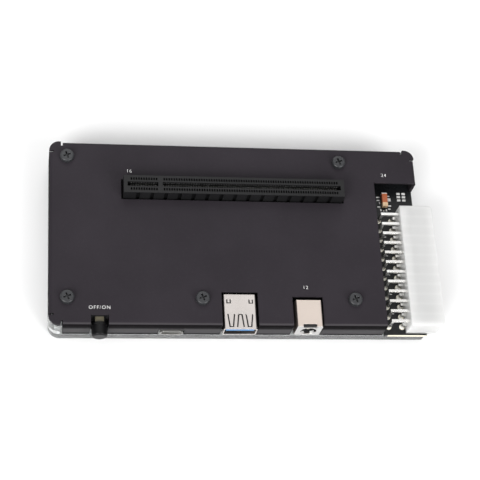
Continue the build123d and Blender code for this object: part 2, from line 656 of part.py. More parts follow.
with BuildPart() as usb_a_contacts:
    with BuildSketch(level(TONGUE_A_TOP - TONGUE_A_THICKNESS - USB_A_CONTACT_SIZE[2])):
        with Locations((USB_A_MIDDLE, TONGUE_A_TIP + TONGUE_A_LENGTH - USB_A_CONTACT_SIZE[1] / 2)):
            with GridLocations(USB_A_CONTACT_PITCH, USB_A_CONTACT_PITCH, USB_A_CONTACTS, 1):
                Rectangle(USB_A_CONTACT_SIZE[0], USB_A_CONTACT_SIZE[1])
    extrude(amount=USB_A_CONTACT_SIZE[2])
save(usb_a_contacts, "usb_a_contacts")

# Small reversible port, sunk into a cut-out of the board
USB_C_MIDDLE = (LEFT + USB_C_CENTRE_X, BOARD_TOP - USB_C_SINK + USB_C_HEIGHT / 2)
USB_C_FRONT = FRONT - USB_C_PROUD
USB_C_REAR = USB_C_FRONT + USB_C_DEPTH
USB_C_INSIDE = (USB_C_WIDTH - 2 * USB_C_SHEET, USB_C_HEIGHT - 2 * USB_C_SHEET)

with BuildPart() as usb_c_shell:
    with BuildSketch(facing_front(USB_C_REAR)):
        with Locations(USB_C_MIDDLE):
            SlotOverall(USB_C_WIDTH, USB_C_HEIGHT)
            SlotOverall(USB_C_INSIDE[0], USB_C_INSIDE[1], mode=Mode.SUBTRACT)
    extrude(amount=USB_C_DEPTH)
save(usb_c_shell, "usb_c_shell")

with BuildPart() as usb_c_tongue:
    with BuildSketch(facing_front(USB_C_REAR)):
        with Locations(USB_C_MIDDLE):
            SlotOverall(USB_C_INSIDE[0], USB_C_INSIDE[1])
    extrude(amount=TONGUE_C_BLOCK)
    with BuildSketch(facing_front(USB_C_REAR - TONGUE_C_BLOCK)):
        with Locations(USB_C_MIDDLE):
            Rectangle(TONGUE_C_WIDTH, TONGUE_C_THICKNESS)
    extrude(amount=TONGUE_C_LENGTH)
save(usb_c_tongue, "usb_c_tongue")

USB_C_CONTACTS = 12
USB_C_CONTACT_PITCH = 0.5
USB_C_CONTACT_SIZE = (0.25, 3.4, 0.08)

with BuildPart() as usb_c_contacts:
    for side in (-1, 1):
        face = USB_C_MIDDLE[1] + side * TONGUE_C_THICKNESS / 2
        with BuildSketch(level(face)):
            with Locations((USB_C_MIDDLE[0], USB_C_REAR - TONGUE_C_BLOCK - USB_C_CONTACT_SIZE[1] / 2)):
                with GridLocations(USB_C_CONTACT_PITCH, USB_C_CONTACT_PITCH, USB_C_CONTACTS, 1):
                    Rectangle(USB_C_CONTACT_SIZE[0], USB_C_CONTACT_SIZE[1])
        extrude(amount=side * USB_C_CONTACT_SIZE[2])
save(usb_c_contacts, "usb_c_contacts")

# Power jack: a bent shield over an insulating body with a round bore, a centre pin and a spring contact
JACK_MIDDLE = (JACK_LEFT + JACK_RIGHT) / 2
JACK_FRONT = FRONT - JACK_PROUD
JACK_REAR = JACK_FRONT + JACK_DEPTH
JACK_TOP = BOARD_TOP + JACK_HEIGHT
JACK_AXIS = (JACK_MIDDLE, BOARD_TOP + (JACK_HEIGHT - JACK_SHEET) / 2)
JACK_BODY_FRONT = JACK_FRONT + JACK_SHEET

with BuildPart() as dc_jack_shield:
    with BuildSketch(level(BOARD_TOP)):
        rectangle_between((JACK_LEFT, JACK_FRONT), (JACK_RIGHT, JACK_REAR))
    extrude(amount=JACK_HEIGHT)
    fillet(dc_jack_shield.faces().sort_by(Axis.Z)[-1].edges(), JACK_SHEET)
    with BuildSketch(level(BOARD_TOP)):
        rectangle_between(
            (JACK_LEFT + JACK_SHEET, JACK_BODY_FRONT),
            (JACK_RIGHT - JACK_SHEET, JACK_REAR - JACK_SHEET),
        )
    extrude(amount=JACK_HEIGHT - JACK_SHEET, mode=Mode.SUBTRACT)
    with BuildSketch(facing_front(JACK_BODY_FRONT)):
        with Locations(JACK_AXIS):
            Circle(JACK_BORE_RADIUS)
    extrude(amount=JACK_SHEET, mode=Mode.SUBTRACT)
    with BuildSketch(level(JACK_TOP - JACK_SHEET - JACK_NOTCH_DROP)):
        rectangle_between(
            (JACK_MIDDLE - JACK_NOTCH_WIDTH / 2, JACK_FRONT),
            (JACK_MIDDLE + JACK_NOTCH_WIDTH / 2, JACK_FRONT + JACK_NOTCH_DEPTH),
        )
    extrude(amount=JACK_SHEET + JACK_NOTCH_DROP, mode=Mode.SUBTRACT)
save(dc_jack_shield, "dc_jack_shield")

with BuildPart() as dc_jack_body:
    with BuildSketch(level(BOARD_TOP)):
        rectangle_between(
            (JACK_LEFT + JACK_SHEET, JACK_BODY_FRONT),
            (JACK_RIGHT - JACK_SHEET, JACK_REAR - JACK_SHEET),
        )
    extrude(amount=JACK_HEIGHT - JACK_SHEET)
    with BuildSketch(facing_front(JACK_BODY_FRONT)):
        with Locations(JACK_AXIS):
            Circle(JACK_BORE_RADIUS)
    extrude(amount=-JACK_BORE_DEPTH, mode=Mode.SUBTRACT)
    with BuildSketch(facing_front(JACK_BODY_FRONT + JACK_BORE_DEPTH)):
        with Locations(JACK_AXIS):
            Circle(JACK_PIN_RADIUS)
    extrude(amount=-JACK_DEPTH, mode=Mode.SUBTRACT)
    with BuildSketch(facing_front(JACK_BODY_FRONT + JACK_BORE_DEPTH)):
        with Locations((JACK_AXIS[0], JACK_AXIS[1] - JACK_BORE_RADIUS)):
            Rectangle(JACK_SPRING_WIDTH, 2 * JACK_SPRING_THICKNESS)
    extrude(amount=JACK_SPRING_LENGTH, mode=Mode.SUBTRACT)
save(dc_jack_body, "dc_jack_body")

with BuildPart() as dc_jack_pin:
    with BuildSketch(facing_front(JACK_REAR - JACK_SHEET)):
        with Locations(JACK_AXIS):
            Circle(JACK_PIN_RADIUS)
    extrude(amount=JACK_REAR - JACK_SHEET - JACK_FRONT - JACK_PIN_SETBACK)
    fillet(dc_jack_pin.faces().sort_by(Axis.Y)[0].edges(), JACK_PIN_ROUND)
save(dc_jack_pin, "dc_jack_pin")

with BuildPart() as dc_jack_spring:
    with BuildSketch(facing_front(JACK_BODY_FRONT + JACK_BORE_DEPTH)):
        with Locations((JACK_AXIS[0], JACK_AXIS[1] - JACK_BORE_RADIUS - JACK_SPRING_THICKNESS / 2)):
            Rectangle(JACK_SPRING_WIDTH, JACK_SPRING_THICKNESS)
    extrude(amount=JACK_SPRING_LENGTH)
save(dc_jack_spring, "dc_jack_spring")

# Power button: a latching switch on the board, its square plunger and the round cap that shows at the front
BUTTON_AXIS = (LEFT + BUTTON_CENTRE_X, BUTTON_Z)
SWITCH_FRONT = FRONT + SWITCH_Y
SWITCH_HEIGHT = SHEET_UNDER - UNDER_COVER_GAP - BOARD_TOP
CAP_FRONT = FRONT - BUTTON_PROUD
CAP_REAR = CAP_FRONT + BUTTON_LENGTH
PLUNGER_REAR = SWITCH_FRONT + PLUNGER_IN_BODY
PLUNGER_BORE = PLUNGER_SIZE + 2 * PLUNGER_CLEARANCE

with BuildPart() as switch_body:
    with BuildSketch(level(BOARD_TOP)):
        with Locations((BUTTON_AXIS[0], SWITCH_FRONT + SWITCH_LENGTH / 2)):
            Rectangle(SWITCH_WIDTH, SWITCH_LENGTH)
    extrude(amount=SWITCH_HEIGHT)
    with BuildSketch(facing_front(SWITCH_FRONT)):
        with Locations(BUTTON_AXIS):
            Rectangle(PLUNGER_BORE, PLUNGER_BORE)
    extrude(amount=-(PLUNGER_IN_BODY + BUTTON_TRAVEL + SWITCH_SETBACK), mode=Mode.SUBTRACT)
save(switch_body, "switch_body")

with BuildPart() as switch_plunger:
    with BuildSketch(facing_front(PLUNGER_REAR)):
        with Locations(BUTTON_AXIS):
            Rectangle(PLUNGER_SIZE, PLUNGER_SIZE)
    extrude(amount=PLUNGER_REAR - CAP_REAR + PLUNGER_IN_CAP)
save(switch_plunger, "switch_plunger")

with BuildPart() as button_cap:
    with BuildSketch(facing_front(CAP_REAR)):
        with Locations(BUTTON_AXIS):
            Circle(BUTTON_RADIUS)
    extrude(amount=BUTTON_LENGTH)
    fillet(button_cap.faces().sort_by(Axis.Y)[0].edges(), BUTTON_ROUND)
    with BuildSketch(facing_front(CAP_REAR - BUTTON_COLLAR)):
        with Locations(BUTTON_AXIS):
            Circle(BUTTON_RADIUS)
            Circle(BUTTON_RADIUS - BUTTON_GROOVE_DEPTH, mode=Mode.SUBTRACT)
    extrude(amount=BUTTON_GROOVE_WIDTH, mode=Mode.SUBTRACT)
    with BuildSketch(facing_front(CAP_REAR)):
        with Locations(BUTTON_AXIS):
            Rectangle(PLUNGER_SIZE, PLUNGER_SIZE)
    extrude(amount=PLUNGER_IN_CAP, mode=Mode.SUBTRACT)
save(button_cap, "button_cap")

with BuildPart() as switch_terminals:
    with BuildSketch(level(BOARD_TOP)):
        with Locations((BUTTON_AXIS[0], SWITCH_FRONT + SWITCH_LENGTH / 2)):
            with GridLocations(SWITCH_WIDTH + TERMINAL_LENGTH, TERMINAL_PITCH, 2, TERMINAL_ROWS):
                Rectangle(TERMINAL_LENGTH, TERMINAL_WIDTH)
    extrude(amount=TERMINAL_THICKNESS)
save(switch_terminals, "switch_terminals")

# Small parts on the board, each placed by its middle
def from_middle(shift):
    """Place at a shift from the cover's middle."""
    return (CENTRE[0] + shift[0], CENTRE[1] + shift[1])


def in_row(middle, count, step):
    """Places in a row along X round a middle."""
    return [(middle[0] + (i - (count - 1) / 2) * step, middle[1]) for i in range(count)]


def in_file(middle, count, step):
    """Places in a row along Y round a middle."""
    return [(middle[0], middle[1] + (i - (count - 1) / 2) * step) for i in range(count)]


def footprints(places, size, height=BOARD_TOP):
    """One rectangle of a size at each place, at a height."""
    with BuildSketch(level(height)) as outline:
        with Locations(places):
            Rectangle(size[0], size[1])
    return outline.sketch


TANTALUM_PLACES = [(HEADER_BACK - TANTALUM_FROM_HEADER, CUT_REAR - TANTALUM_FROM_CUT)]
CHIP_PLACES = [
    place
    for middle in in_row((RIGHT - CHIP_FROM_RIGHT, CUT_REAR - CHIP_FROM_CUT), CHIP_COLUMNS, CHIP_COLUMN_STEP)
    for place in in_file(middle, CHIP_ROWS, CHIP_ROW_STEP)
]
CONTROLLER_PLACES = [from_middle(CONTROLLER_SHIFT)]
MEMORY_PLACES = in_file(from_middle(MEMORY_SHIFT), MEMORY_CHIPS, MEMORY_STEP)
INDUCTOR_PLACES = in_row(from_middle(INDUCTOR_SHIFT), POWER_STAGES, POWER_STEP)
TRANSISTOR_PLACES = in_row(from_middle(TRANSISTOR_SHIFT), POWER_STAGES, POWER_STEP)
POLYMER_CAN_PLACES = in_row(from_middle(POLYMER_CAN_SHIFT), POWER_STAGES, POWER_STEP)
CRYSTAL_PLACES = [from_middle(shift) for shift in CRYSTAL_SHIFTS]
HEAT_SINK_BOTTOM = BOARD_TOP + CONTROLLER_SIZE[2]
HEAT_SINK_HEIGHT = SHEET_UNDER - UNDER_COVER_GAP - HEAT_SINK_BOTTOM
FIN_PITCH = (HEAT_SINK_SIDE - HEAT_SINK_FIN) / (HEAT_SINK_FINS - 1)

with BuildPart() as tantalum_capacitor:
    extrude(footprints(TANTALUM_PLACES, TANTALUM_SIZE), amount=TANTALUM_SIZE[2])
save(tantalum_capacitor, "tantalum_capacitor")

with BuildPart() as chip_resistors:
    extrude(footprints(CHIP_PLACES, CHIP_SIZE), amount=CHIP_SIZE[2])
save(chip_resistors, "chip_resistors")

with BuildPart() as controller_chip:
    extrude(footprints(CONTROLLER_PLACES, CONTROLLER_SIZE), amount=CONTROLLER_SIZE[2])
save(controller_chip, "controller_chip")

with BuildPart() as heat_sink:
    base = footprints(CONTROLLER_PLACES, (HEAT_SINK_SIDE, HEAT_SINK_SIDE), HEAT_SINK_BOTTOM)
    extrude(base, amount=HEAT_SINK_HEIGHT)
    with BuildSketch(level(HEAT_SINK_BOTTOM + HEAT_SINK_BASE)):
        with Locations(CONTROLLER_PLACES):
            with GridLocations(FIN_PITCH, FIN_PITCH, HEAT_SINK_FINS - 1, 1):
                Rectangle(FIN_PITCH - HEAT_SINK_FIN, HEAT_SINK_SIDE)
    extrude(amount=HEAT_SINK_HEIGHT - HEAT_SINK_BASE, mode=Mode.SUBTRACT)
save(heat_sink, "heat_sink")

with BuildPart() as memory_chips:
    extrude(footprints(MEMORY_PLACES, MEMORY_SIZE), amount=MEMORY_SIZE[2])
save(memory_chips, "memory_chips")

with BuildPart() as power_inductors:
    extrude(footprints(INDUCTOR_PLACES, INDUCTOR_SIZE), amount=INDUCTOR_SIZE[2])
    chamfer(power_inductors.edges().filter_by(Axis.Z), INDUCTOR_CHAMFER)
save(power_inductors, "power_inductors")

with BuildPart() as power_transistors:
    extrude(footprints(TRANSISTOR_PLACES, TRANSISTOR_SIZE), amount=TRANSISTOR_SIZE[2])
save(power_transistors, "power_transistors")

with BuildPart() as polymer_capacitors:
    with BuildSketch(level(BOARD_TOP)):
        with Locations(POLYMER_CAN_PLACES):
            Circle(POLYMER_CAN_RADIUS)
    extrude(amount=SHEET_UNDER - UNDER_COVER_GAP - BOARD_TOP)
save(polymer_capacitors, "polymer_capacitors")

with BuildPart() as timing_crystals:
    extrude(footprints(CRYSTAL_PLACES, CRYSTAL_SIZE), amount=CRYSTAL_SIZE[2])
save(timing_crystals, "timing_crystals")
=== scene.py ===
import logging
import math
from dataclasses import dataclass, field
from enum import Enum

import bmesh
import bpy
from bpy.types import Material, Mesh, Node, NodeSocket, NodeTree
from mathutils import Matrix, Vector


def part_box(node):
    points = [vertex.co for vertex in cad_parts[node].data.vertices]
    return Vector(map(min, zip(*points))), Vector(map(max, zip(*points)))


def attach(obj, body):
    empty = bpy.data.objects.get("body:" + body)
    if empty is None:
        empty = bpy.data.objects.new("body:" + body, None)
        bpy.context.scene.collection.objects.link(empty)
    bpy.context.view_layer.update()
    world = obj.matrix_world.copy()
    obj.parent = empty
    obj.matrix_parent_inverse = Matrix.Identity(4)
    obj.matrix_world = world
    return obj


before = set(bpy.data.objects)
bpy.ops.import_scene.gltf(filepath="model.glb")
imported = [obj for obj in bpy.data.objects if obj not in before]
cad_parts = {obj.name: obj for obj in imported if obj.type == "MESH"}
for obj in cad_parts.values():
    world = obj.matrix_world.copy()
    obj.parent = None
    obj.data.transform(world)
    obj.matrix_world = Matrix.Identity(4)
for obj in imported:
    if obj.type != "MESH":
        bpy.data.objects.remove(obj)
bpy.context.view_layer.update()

MM = 0.001
LOG = logging.getLogger("docking_enclosure")

Colour = tuple[float, float, float]
Point = tuple[float, float, float]
Box = tuple[Point, Point]

# Shading: the values that most of a noise lies between, and what all finishes share
NOISE_LOW, NOISE_HIGH = 0.3, 0.7
BUMP_STRENGTH = 0.6
DUST_COLOUR = (0.55, 0.53, 0.5)
PAINTED_SHADE_COLOUR = (0.001, 0.001, 0.001)

# Lettering: a capital's share of the font's size, the thinning as a share of its height, and the spacing
CAPITAL_SHARE = 0.7
STROKE_THINNING = 0.008
LETTER_SPACING = 1.2
LETTER_STEPS = 3


class Body(Enum):
    """Bodies that added pieces ride on."""

    ENCLOSURE = "enclosure"


class Texture(Enum):
    """Surface textures, each a grain scale per metre and a stretch along X."""

    FINE = (2600.0, 1.0)
    POWDER = (3400.0, 1.0)
    COARSE = (900.0, 1.0)
    BRUSHED = (2200.0, 0.07)
    HANDLED = (160.0, 0.12)
    COATED_BOARD = (1800.0, 1.0)


class Along(Enum):
    """Directions that a pattern may run in."""

    Y = "Y"
    Z = "Z"


class PinRow(Enum):
    """The power header's two rows of pins."""

    UPPER = "upper"
    LOWER = "lower"


# Node helpers


def add_node(tree: NodeTree, kind: str, values: dict[str | int, object] | None = None,
             **settings: object) -> Node:
    """Adds a node and sets it up.

    Args:
        tree: The node tree that gets the node.
        kind: Blender's name of the node type.
        values: Value of each input, or the socket that feeds it, by its name or number.
        settings: Properties of the node.

    Returns:
        The new node.
    """
    node = tree.nodes.new(kind)
    for name, value in settings.items():
        setattr(node, name, value)
    for key, value in (values or {}).items():
        if isinstance(value, NodeSocket):
            tree.links.new(value, node.inputs[key])
        else:
            node.inputs[key].default_value = value
    return node


def open_group(name: str, inputs: dict[str, float], outputs: dict[str, str]) -> tuple[NodeTree, Node, Node]:
    """Makes an empty shader node group with named sockets.

    Args:
        name: Name of the group.
        inputs: Name and default of each number that goes in.
        outputs: Name and socket type of each result.

    Returns:
        The tree, its input node and its output node.
    """
    tree = bpy.data.node_groups.new(name, "ShaderNodeTree")
    for label, default in inputs.items():
        socket = tree.interface.new_socket(name=label, in_out="INPUT", socket_type="NodeSocketFloat")
        socket.default_value = default
    for label, kind in outputs.items():
        tree.interface.new_socket(name=label, in_out="OUTPUT", socket_type=kind)
    return tree, add_node(tree, "NodeGroupInput"), add_node(tree, "NodeGroupOutput")


def object_noise(tree: NodeTree, scale: float, detail: float) -> NodeSocket:
    """Adds a noise texture that stays fixed to the object.

    Args:
        tree: The tree that gets it.
        scale: Noise cells per metre.
        detail: Number of finer octaves.

    Returns:
        The noise's socket.
    """
    place = add_node(tree, "ShaderNodeTexCoord").outputs["Object"]
    values = {"Vector": place, "Scale": scale, "Detail": detail}
    return add_node(tree, "ShaderNodeTexNoise", values).outputs[0]


def multiplied(tree: NodeTree, first: NodeSocket, second: NodeSocket) -> NodeSocket:
    """Multiplies two values and keeps the result between 0 and 1.

    Args:
        tree: The tree that gets the node.
        first: One value.
        second: The other value.

    Returns:
        The product's socket.
    """
    values = {0: first, 1: second}
    return add_node(tree, "ShaderNodeMath", values, operation="MULTIPLY", use_clamp=True).outputs[0]


def ramped(tree: NodeTree, value: NodeSocket, zero_at: float, one_at: float) -> NodeSocket:
    """Turns a value into a mask.

    Args:
        tree: The tree that gets the node.
        value: Socket to read.
        zero_at: Value where the mask is 0.
        one_at: Value where the mask is 1.

    Returns:
        The mask's socket.
    """
    return add_node(tree, "ShaderNodeMapRange", {0: value, 1: zero_at, 2: one_at}).outputs[0]


def grain_group() -> NodeTree:
    """Builds the group for fine surface grain and slow tone changes.

    Returns:
        A group that puts out a fine Height and a broad Tone.
    """
    tree, start, end = open_group(
        "surface_grain", {"Scale": 2000.0, "Stretch": 1.0},
        {"Height": "NodeSocketFloat", "Tone": "NodeSocketFloat"},
    )
    place = add_node(tree, "ShaderNodeTexCoord").outputs["Object"]
    stretch = add_node(tree, "ShaderNodeCombineXYZ", {0: start.outputs["Stretch"], 1: 1.0, 2: 1.0})
    mapped = add_node(tree, "ShaderNodeVectorMath", {0: place, 1: stretch.outputs[0]}, operation="MULTIPLY")
    fine = add_node(
        tree, "ShaderNodeTexNoise",
        {"Vector": mapped.outputs[0], "Scale": start.outputs["Scale"], "Detail": 3.0},
    )
    tree.links.new(fine.outputs[0], end.inputs["Height"])
    tree.links.new(object_noise(tree, scale=42.0, detail=4.0), end.inputs["Tone"])
    return tree


def edge_group() -> NodeTree:
    """Builds the group for softened edges, lightened as scuffing and, on some finishes, as a painted highlight.

    Returns:
        A group that puts out an edge Mask, broken up by noise, and a Normal that rounds the edges.
    """
    tree, start, end = open_group(
        "rubbed_and_highlit_edges", {"Radius": 0.3 * MM, "Amount": 1.0},
        {"Mask": "NodeSocketFloat", "Normal": "NodeSocketVector"},
    )
    bevel = add_node(tree, "ShaderNodeBevel", {"Radius": start.outputs["Radius"]}, samples=6).outputs[0]
    flat = add_node(tree, "ShaderNodeNewGeometry").outputs["True Normal"]
    dot = add_node(tree, "ShaderNodeVectorMath", {0: bevel, 1: flat}, operation="DOT_PRODUCT")
    turn = ramped(tree, dot.outputs["Value"], zero_at=1.0, one_at=0.72)
    patchy = ramped(tree, object_noise(tree, scale=420.0, detail=3.0), zero_at=0.32, one_at=0.66)
    wear_and_highlight = multiplied(tree, turn, patchy)
    tree.links.new(multiplied(tree, wear_and_highlight, start.outputs["Amount"]), end.inputs["Mask"])
    tree.links.new(bevel, end.inputs["Normal"])
    return tree


def dust_group() -> NodeTree:
    """Builds the group for a thin film of dust on what faces up.

    Returns:
        A group that puts out a Mask of specks and film.
    """
    tree, start, end = open_group("settled_dust", {"Amount": 0.1}, {"Mask": "NodeSocketFloat"})
    facing = add_node(tree, "ShaderNodeNewGeometry").outputs["Normal"]
    rise = add_node(tree, "ShaderNodeSeparateXYZ", {0: facing}).outputs["Z"]
    specks = ramped(tree, object_noise(tree, scale=900.0, detail=6.0), zero_at=0.55, one_at=0.85)
    lying = multiplied(tree, ramped(tree, rise, zero_at=0.6, one_at=1.0), specks)
    tree.links.new(multiplied(tree, lying, start.outputs["Amount"]), end.inputs["Mask"])
    return tree


def crevice_shade_group() -> NodeTree:
    """Builds the group for painted shade in grooves and recesses, darker the more closed in they are.

    Returns:
        A group that puts out a Mask of painted shade in the piece's own hollows.
    """
    tree, start, end = open_group(
        "painted_crevice_shade", {"Reach": 1.0 * MM, "Amount": 1.0}, {"Mask": "NodeSocketFloat"}
    )
    openness = add_node(
        tree, "ShaderNodeAmbientOcclusion", {"Distance": start.outputs["Reach"]}, samples=8, only_local=True
    )
    closed = ramped(tree, openness.outputs["AO"], zero_at=0.8, one_at=0.4)
    tree.links.new(multiplied(tree, closed, start.outputs["Amount"]), end.inputs["Mask"])
    return tree


GRAIN = grain_group()
EDGES = edge_group()
DUST = dust_group()
PAINTED_CREVICE_SHADE = crevice_shade_group()


class Surface:
    """One material in the making: a Principled shader and the shared groups that feed it."""

    def __init__(self, name: str) -> None:
        """Makes an empty material of that name."""
        self.material = bpy.data.materials.new(name)
        self.material.use_nodes = True
        self.tree = self.material.node_tree
        self.tree.nodes.clear()
        self.shader = add_node(self.tree, "ShaderNodeBsdfPrincipled")
        add_node(self.tree, "ShaderNodeOutputMaterial", {0: self.shader.outputs[0]})

    def put(self, values: dict[str, object]) -> None:
        """Sets constant values on the shader's own sockets."""
        for name, value in values.items():
            self.shader.inputs[name].default_value = value

    def group(self, tree: NodeTree, values: dict[str, float]) -> Node:
        """Places a shared group.

        Args:
            tree: The group's tree.
            values: The group's own inputs.

        Returns:
            The group node.
        """
        return add_node(self.tree, "ShaderNodeGroup", values, node_tree=tree)

    def grain(self, texture: Texture) -> Node:
        """Places the grain group with a texture's scale and stretch."""
        scale, stretch = texture.value
        return self.group(GRAIN, {"Scale": scale, "Stretch": stretch})

    def blend(self, low: Colour | NodeSocket, high: Colour | NodeSocket, mask: NodeSocket) -> NodeSocket:
        """Mixes two colours by a mask.

        Args:
            low: Colour or socket where the mask is 0.
            high: Colour or socket where the mask is 1.
            mask: Socket from 0 to 1.

        Returns:
            The mixed colour's socket.
        """
        low, high = (c if isinstance(c, NodeSocket) else (*c, 1.0) for c in (low, high))
        return add_node(self.tree, "ShaderNodeMix", {0: mask, 6: low, 7: high}, data_type="RGBA").outputs[2]

    def span(self, value: NodeSocket, low: float, high: float) -> NodeSocket:
        """Spreads a noise value over another range.

        Args:
            value: Socket to spread.
            low: Result where the noise is low.
            high: Result where the noise is high.

        Returns:
            The spread value's socket.
        """
        values = {0: value, 1: NOISE_LOW, 2: NOISE_HIGH, 3: low, 4: high}
        return add_node(self.tree, "ShaderNodeMapRange", values).outputs[0]

    def along(self, axis: Along) -> NodeSocket:
        """Puts out the object's own coordinate along an axis, in metres."""
        place = add_node(self.tree, "ShaderNodeTexCoord").outputs["Object"]
        return add_node(self.tree, "ShaderNodeSeparateXYZ", {0: place}).outputs[axis.value]

    def band(self, axis: Along, low: float, high: float, softness: float) -> NodeSocket:
        """Makes a mask that is 1 between two places along an axis.

        Args:
            axis: Direction that the places are measured in.
            low: Where the band starts.
            high: Where it ends.
            softness: Half the length of each soft end.

        Returns:
            The mask's socket.
        """
        place = self.along(axis)
        rise = ramped(self.tree, place, low - softness, low + softness)
        fall = ramped(self.tree, place, high + softness, high - softness)
        return multiplied(self.tree, rise, fall)

    def reckon(self, operation: str, *values: NodeSocket | float) -> NodeSocket:
        """Works out one step of arithmetic.

        Args:
            operation: Blender's name of the operation.
            values: Sockets and numbers that it works on, in order.

        Returns:
            The result's socket.
        """
        return add_node(self.tree, "ShaderNodeMath", dict(enumerate(values)), operation=operation).outputs[0]

    def feed(self, name: str, socket: NodeSocket) -> None:
        """Links a socket to one of the shader's inputs."""
        self.tree.links.new(socket, self.shader.inputs[name])

    def bump(self, height: NodeSocket, depth: float, normal: NodeSocket | None) -> None:
        """Gives the shader a bump.

        Args:
            height: Socket from 0 to 1.
            depth: Height of the bump in metres.
            normal: Normal that the bump starts from, if not the mesh's own.
        """
        values = {"Height": height, "Distance": depth, "Strength": BUMP_STRENGTH}
        if normal is not None:
            values["Normal"] = normal
        self.feed("Normal", add_node(self.tree, "ShaderNodeBump", values).outputs[0])


# Finishes


@dataclass(frozen=True)
class Finish:
    """A surface with grain, tone changes and edges lightened as scuffing and, on some finishes, as a painted
    highlight, and with dust and painted shade in hollows if wanted.
    """

    colour: Colour
    edge: Colour = (0.5, 0.5, 0.5)
    tone: float = 0.12
    edge_wear_and_highlight: float = 0.2
    edge_radius: float = 0.15 * MM
    dust: float = 0.0
    crevice_shade: float = 0.0
    crevice_shade_reach: float = 0.8 * MM
    rough: tuple[float, float] = (0.36, 0.5)
    texture: Texture = Texture.FINE
    depth: float = 0.012 * MM
    constants: dict[str, object] = field(default_factory=dict)

    def material(self, name: str) -> Material:
        """Builds the material.

        Args:
            name: Name of the material.

        Returns:
            The finished material.
        """
        surface = Surface(name)
        grain = surface.grain(self.texture)
        edges = surface.group(EDGES, {"Radius": self.edge_radius, "Amount": self.edge_wear_and_highlight})
        body = self.body_colour(surface, grain)
        # Edge mask: scuffed edges, and on the bright shells and the screws a painted highlight along the edges
        with_wear_and_painted_light = surface.blend(body, self.edge, edges.outputs["Mask"])
        if self.dust:
            dust = surface.group(DUST, {"Amount": self.dust})
            with_wear_and_painted_light = surface.blend(with_wear_and_painted_light, DUST_COLOUR, dust.outputs["Mask"])
        # Painted shade: grooves and recesses darkened towards near-black
        if self.crevice_shade:
            hollow = surface.group(PAINTED_CREVICE_SHADE, {"Reach": self.crevice_shade_reach, "Amount": self.crevice_shade})
            with_wear_and_painted_light = surface.blend(with_wear_and_painted_light, PAINTED_SHADE_COLOUR, hollow.outputs["Mask"])
        surface.feed("Base Color", with_wear_and_painted_light)
        surface.feed("Roughness", self.roughness(surface, grain))
        surface.bump(grain.outputs["Height"], self.depth, edges.outputs["Normal"])
        surface.put(self.constants)
        return surface.material

    def roughness(self, surface: Surface, grain: Node) -> NodeSocket:
        """Varies the roughness a little over the surface.

        Args:
            surface: The material in the making.
            grain: Its grain group.

        Returns:
            The varied roughness's socket.
        """
        return surface.span(grain.outputs["Tone"], *self.rough)

    def body_colour(self, surface: Surface, grain: Node) -> NodeSocket:
        """Varies the colour a little over the surface.

        Args:
            surface: The material in the making.
            grain: Its grain group.

        Returns:
            The varied colour's socket.
        """
        darker = tuple(c * (1.0 - self.tone) for c in self.colour)
        lighter = tuple(min(1.0, c * (1.0 + self.tone)) for c in self.colour)
        return surface.blend(darker, lighter, surface.span(grain.outputs["Tone"], 0.0, 1.0))


@dataclass(frozen=True)
class BandFinishWithPaintedShade(Finish):
    """A finish that keeps its colour in one band across the piece and has another outside it, a painted shade."""

    outside: Colour = (0.012, 0.012, 0.012)
    axis: Along = Along.Y
    low: float = -1.0
    high: float = 1.0
    softness: float = 0.1 * MM

    def body_colour(self, surface: Surface, grain: Node) -> NodeSocket:
        """Turns from the outside colour, a painted shade, to the finish's own between the two ends of the band.

        Args:
            surface: The material in the making.
            grain: Its grain group.

        Returns:
            The banded colour's socket.
        """
        inside = super().body_colour(surface, grain)
        within = surface.band(self.axis, self.low, self.high, self.softness)
        return surface.blend(self.outside, inside, within)


@dataclass(frozen=True)
class PaintedLightStripe:
    """A level stripe of painted light between two depths below a sheet's top, lighter or darker than the sheet,
    and what it adds to the roughness.
    """

    colour: Colour
    top: float
    bottom: float
    softness: float
    front_only: bool = False
    dulling: float = 0.0


@dataclass(frozen=True)
class FoldFinishWithPaintedLight(Finish):
    """A coated sheet whose folded sides carry painted light in level stripes: a painted highlight along the front
    fold, painted shade below the folds and a painted reflection that lightens the front flange's lower part.
    """

    sheet_top: float = 0.0
    front: float = 0.0
    front_reach: tuple[float, float] = (2.2 * MM, 1.4 * MM)
    stripes: tuple[PaintedLightStripe, ...] = ()

    def body_colour(self, surface: Surface, grain: Node) -> NodeSocket:
        """Lays the painted highlight and shade stripes over the sheet's own colour.

        Args:
            surface: The material in the making.
            grain: Its grain group.

        Returns:
            The striped colour's socket.
        """
        body = super().body_colour(surface, grain)
        for stripe in self.stripes:
            body = surface.blend(body, stripe.colour, self.mask(surface, stripe))
        return body

    def roughness(self, surface: Surface, grain: Node) -> NodeSocket:
        """Adds each stripe's dulling to the sheet's own roughness.

        Args:
            surface: The material in the making.
            grain: Its grain group.

        Returns:
            The striped roughness's socket.
        """
        rough = super().roughness(surface, grain)
        for stripe in self.stripes:
            if stripe.dulling:
                rough = surface.reckon("MULTIPLY_ADD", self.mask(surface, stripe), stripe.dulling, rough)
        return rough

    def mask(self, surface: Surface, stripe: PaintedLightStripe) -> NodeSocket:
        """Makes the mask of one painted light stripe.

        Args:
            surface: The material in the making.
            stripe: The stripe.

        Returns:
            The mask's socket.
        """
        low, high = self.sheet_top - stripe.bottom, self.sheet_top - stripe.top
        level = surface.band(Along.Z, low, high, stripe.softness)
        if not stripe.front_only:
            return level
        back, ahead = self.front_reach
        in_front = ramped(surface.tree, surface.along(Along.Y), self.front + back, self.front + ahead)
        return multiplied(surface.tree, level, in_front)


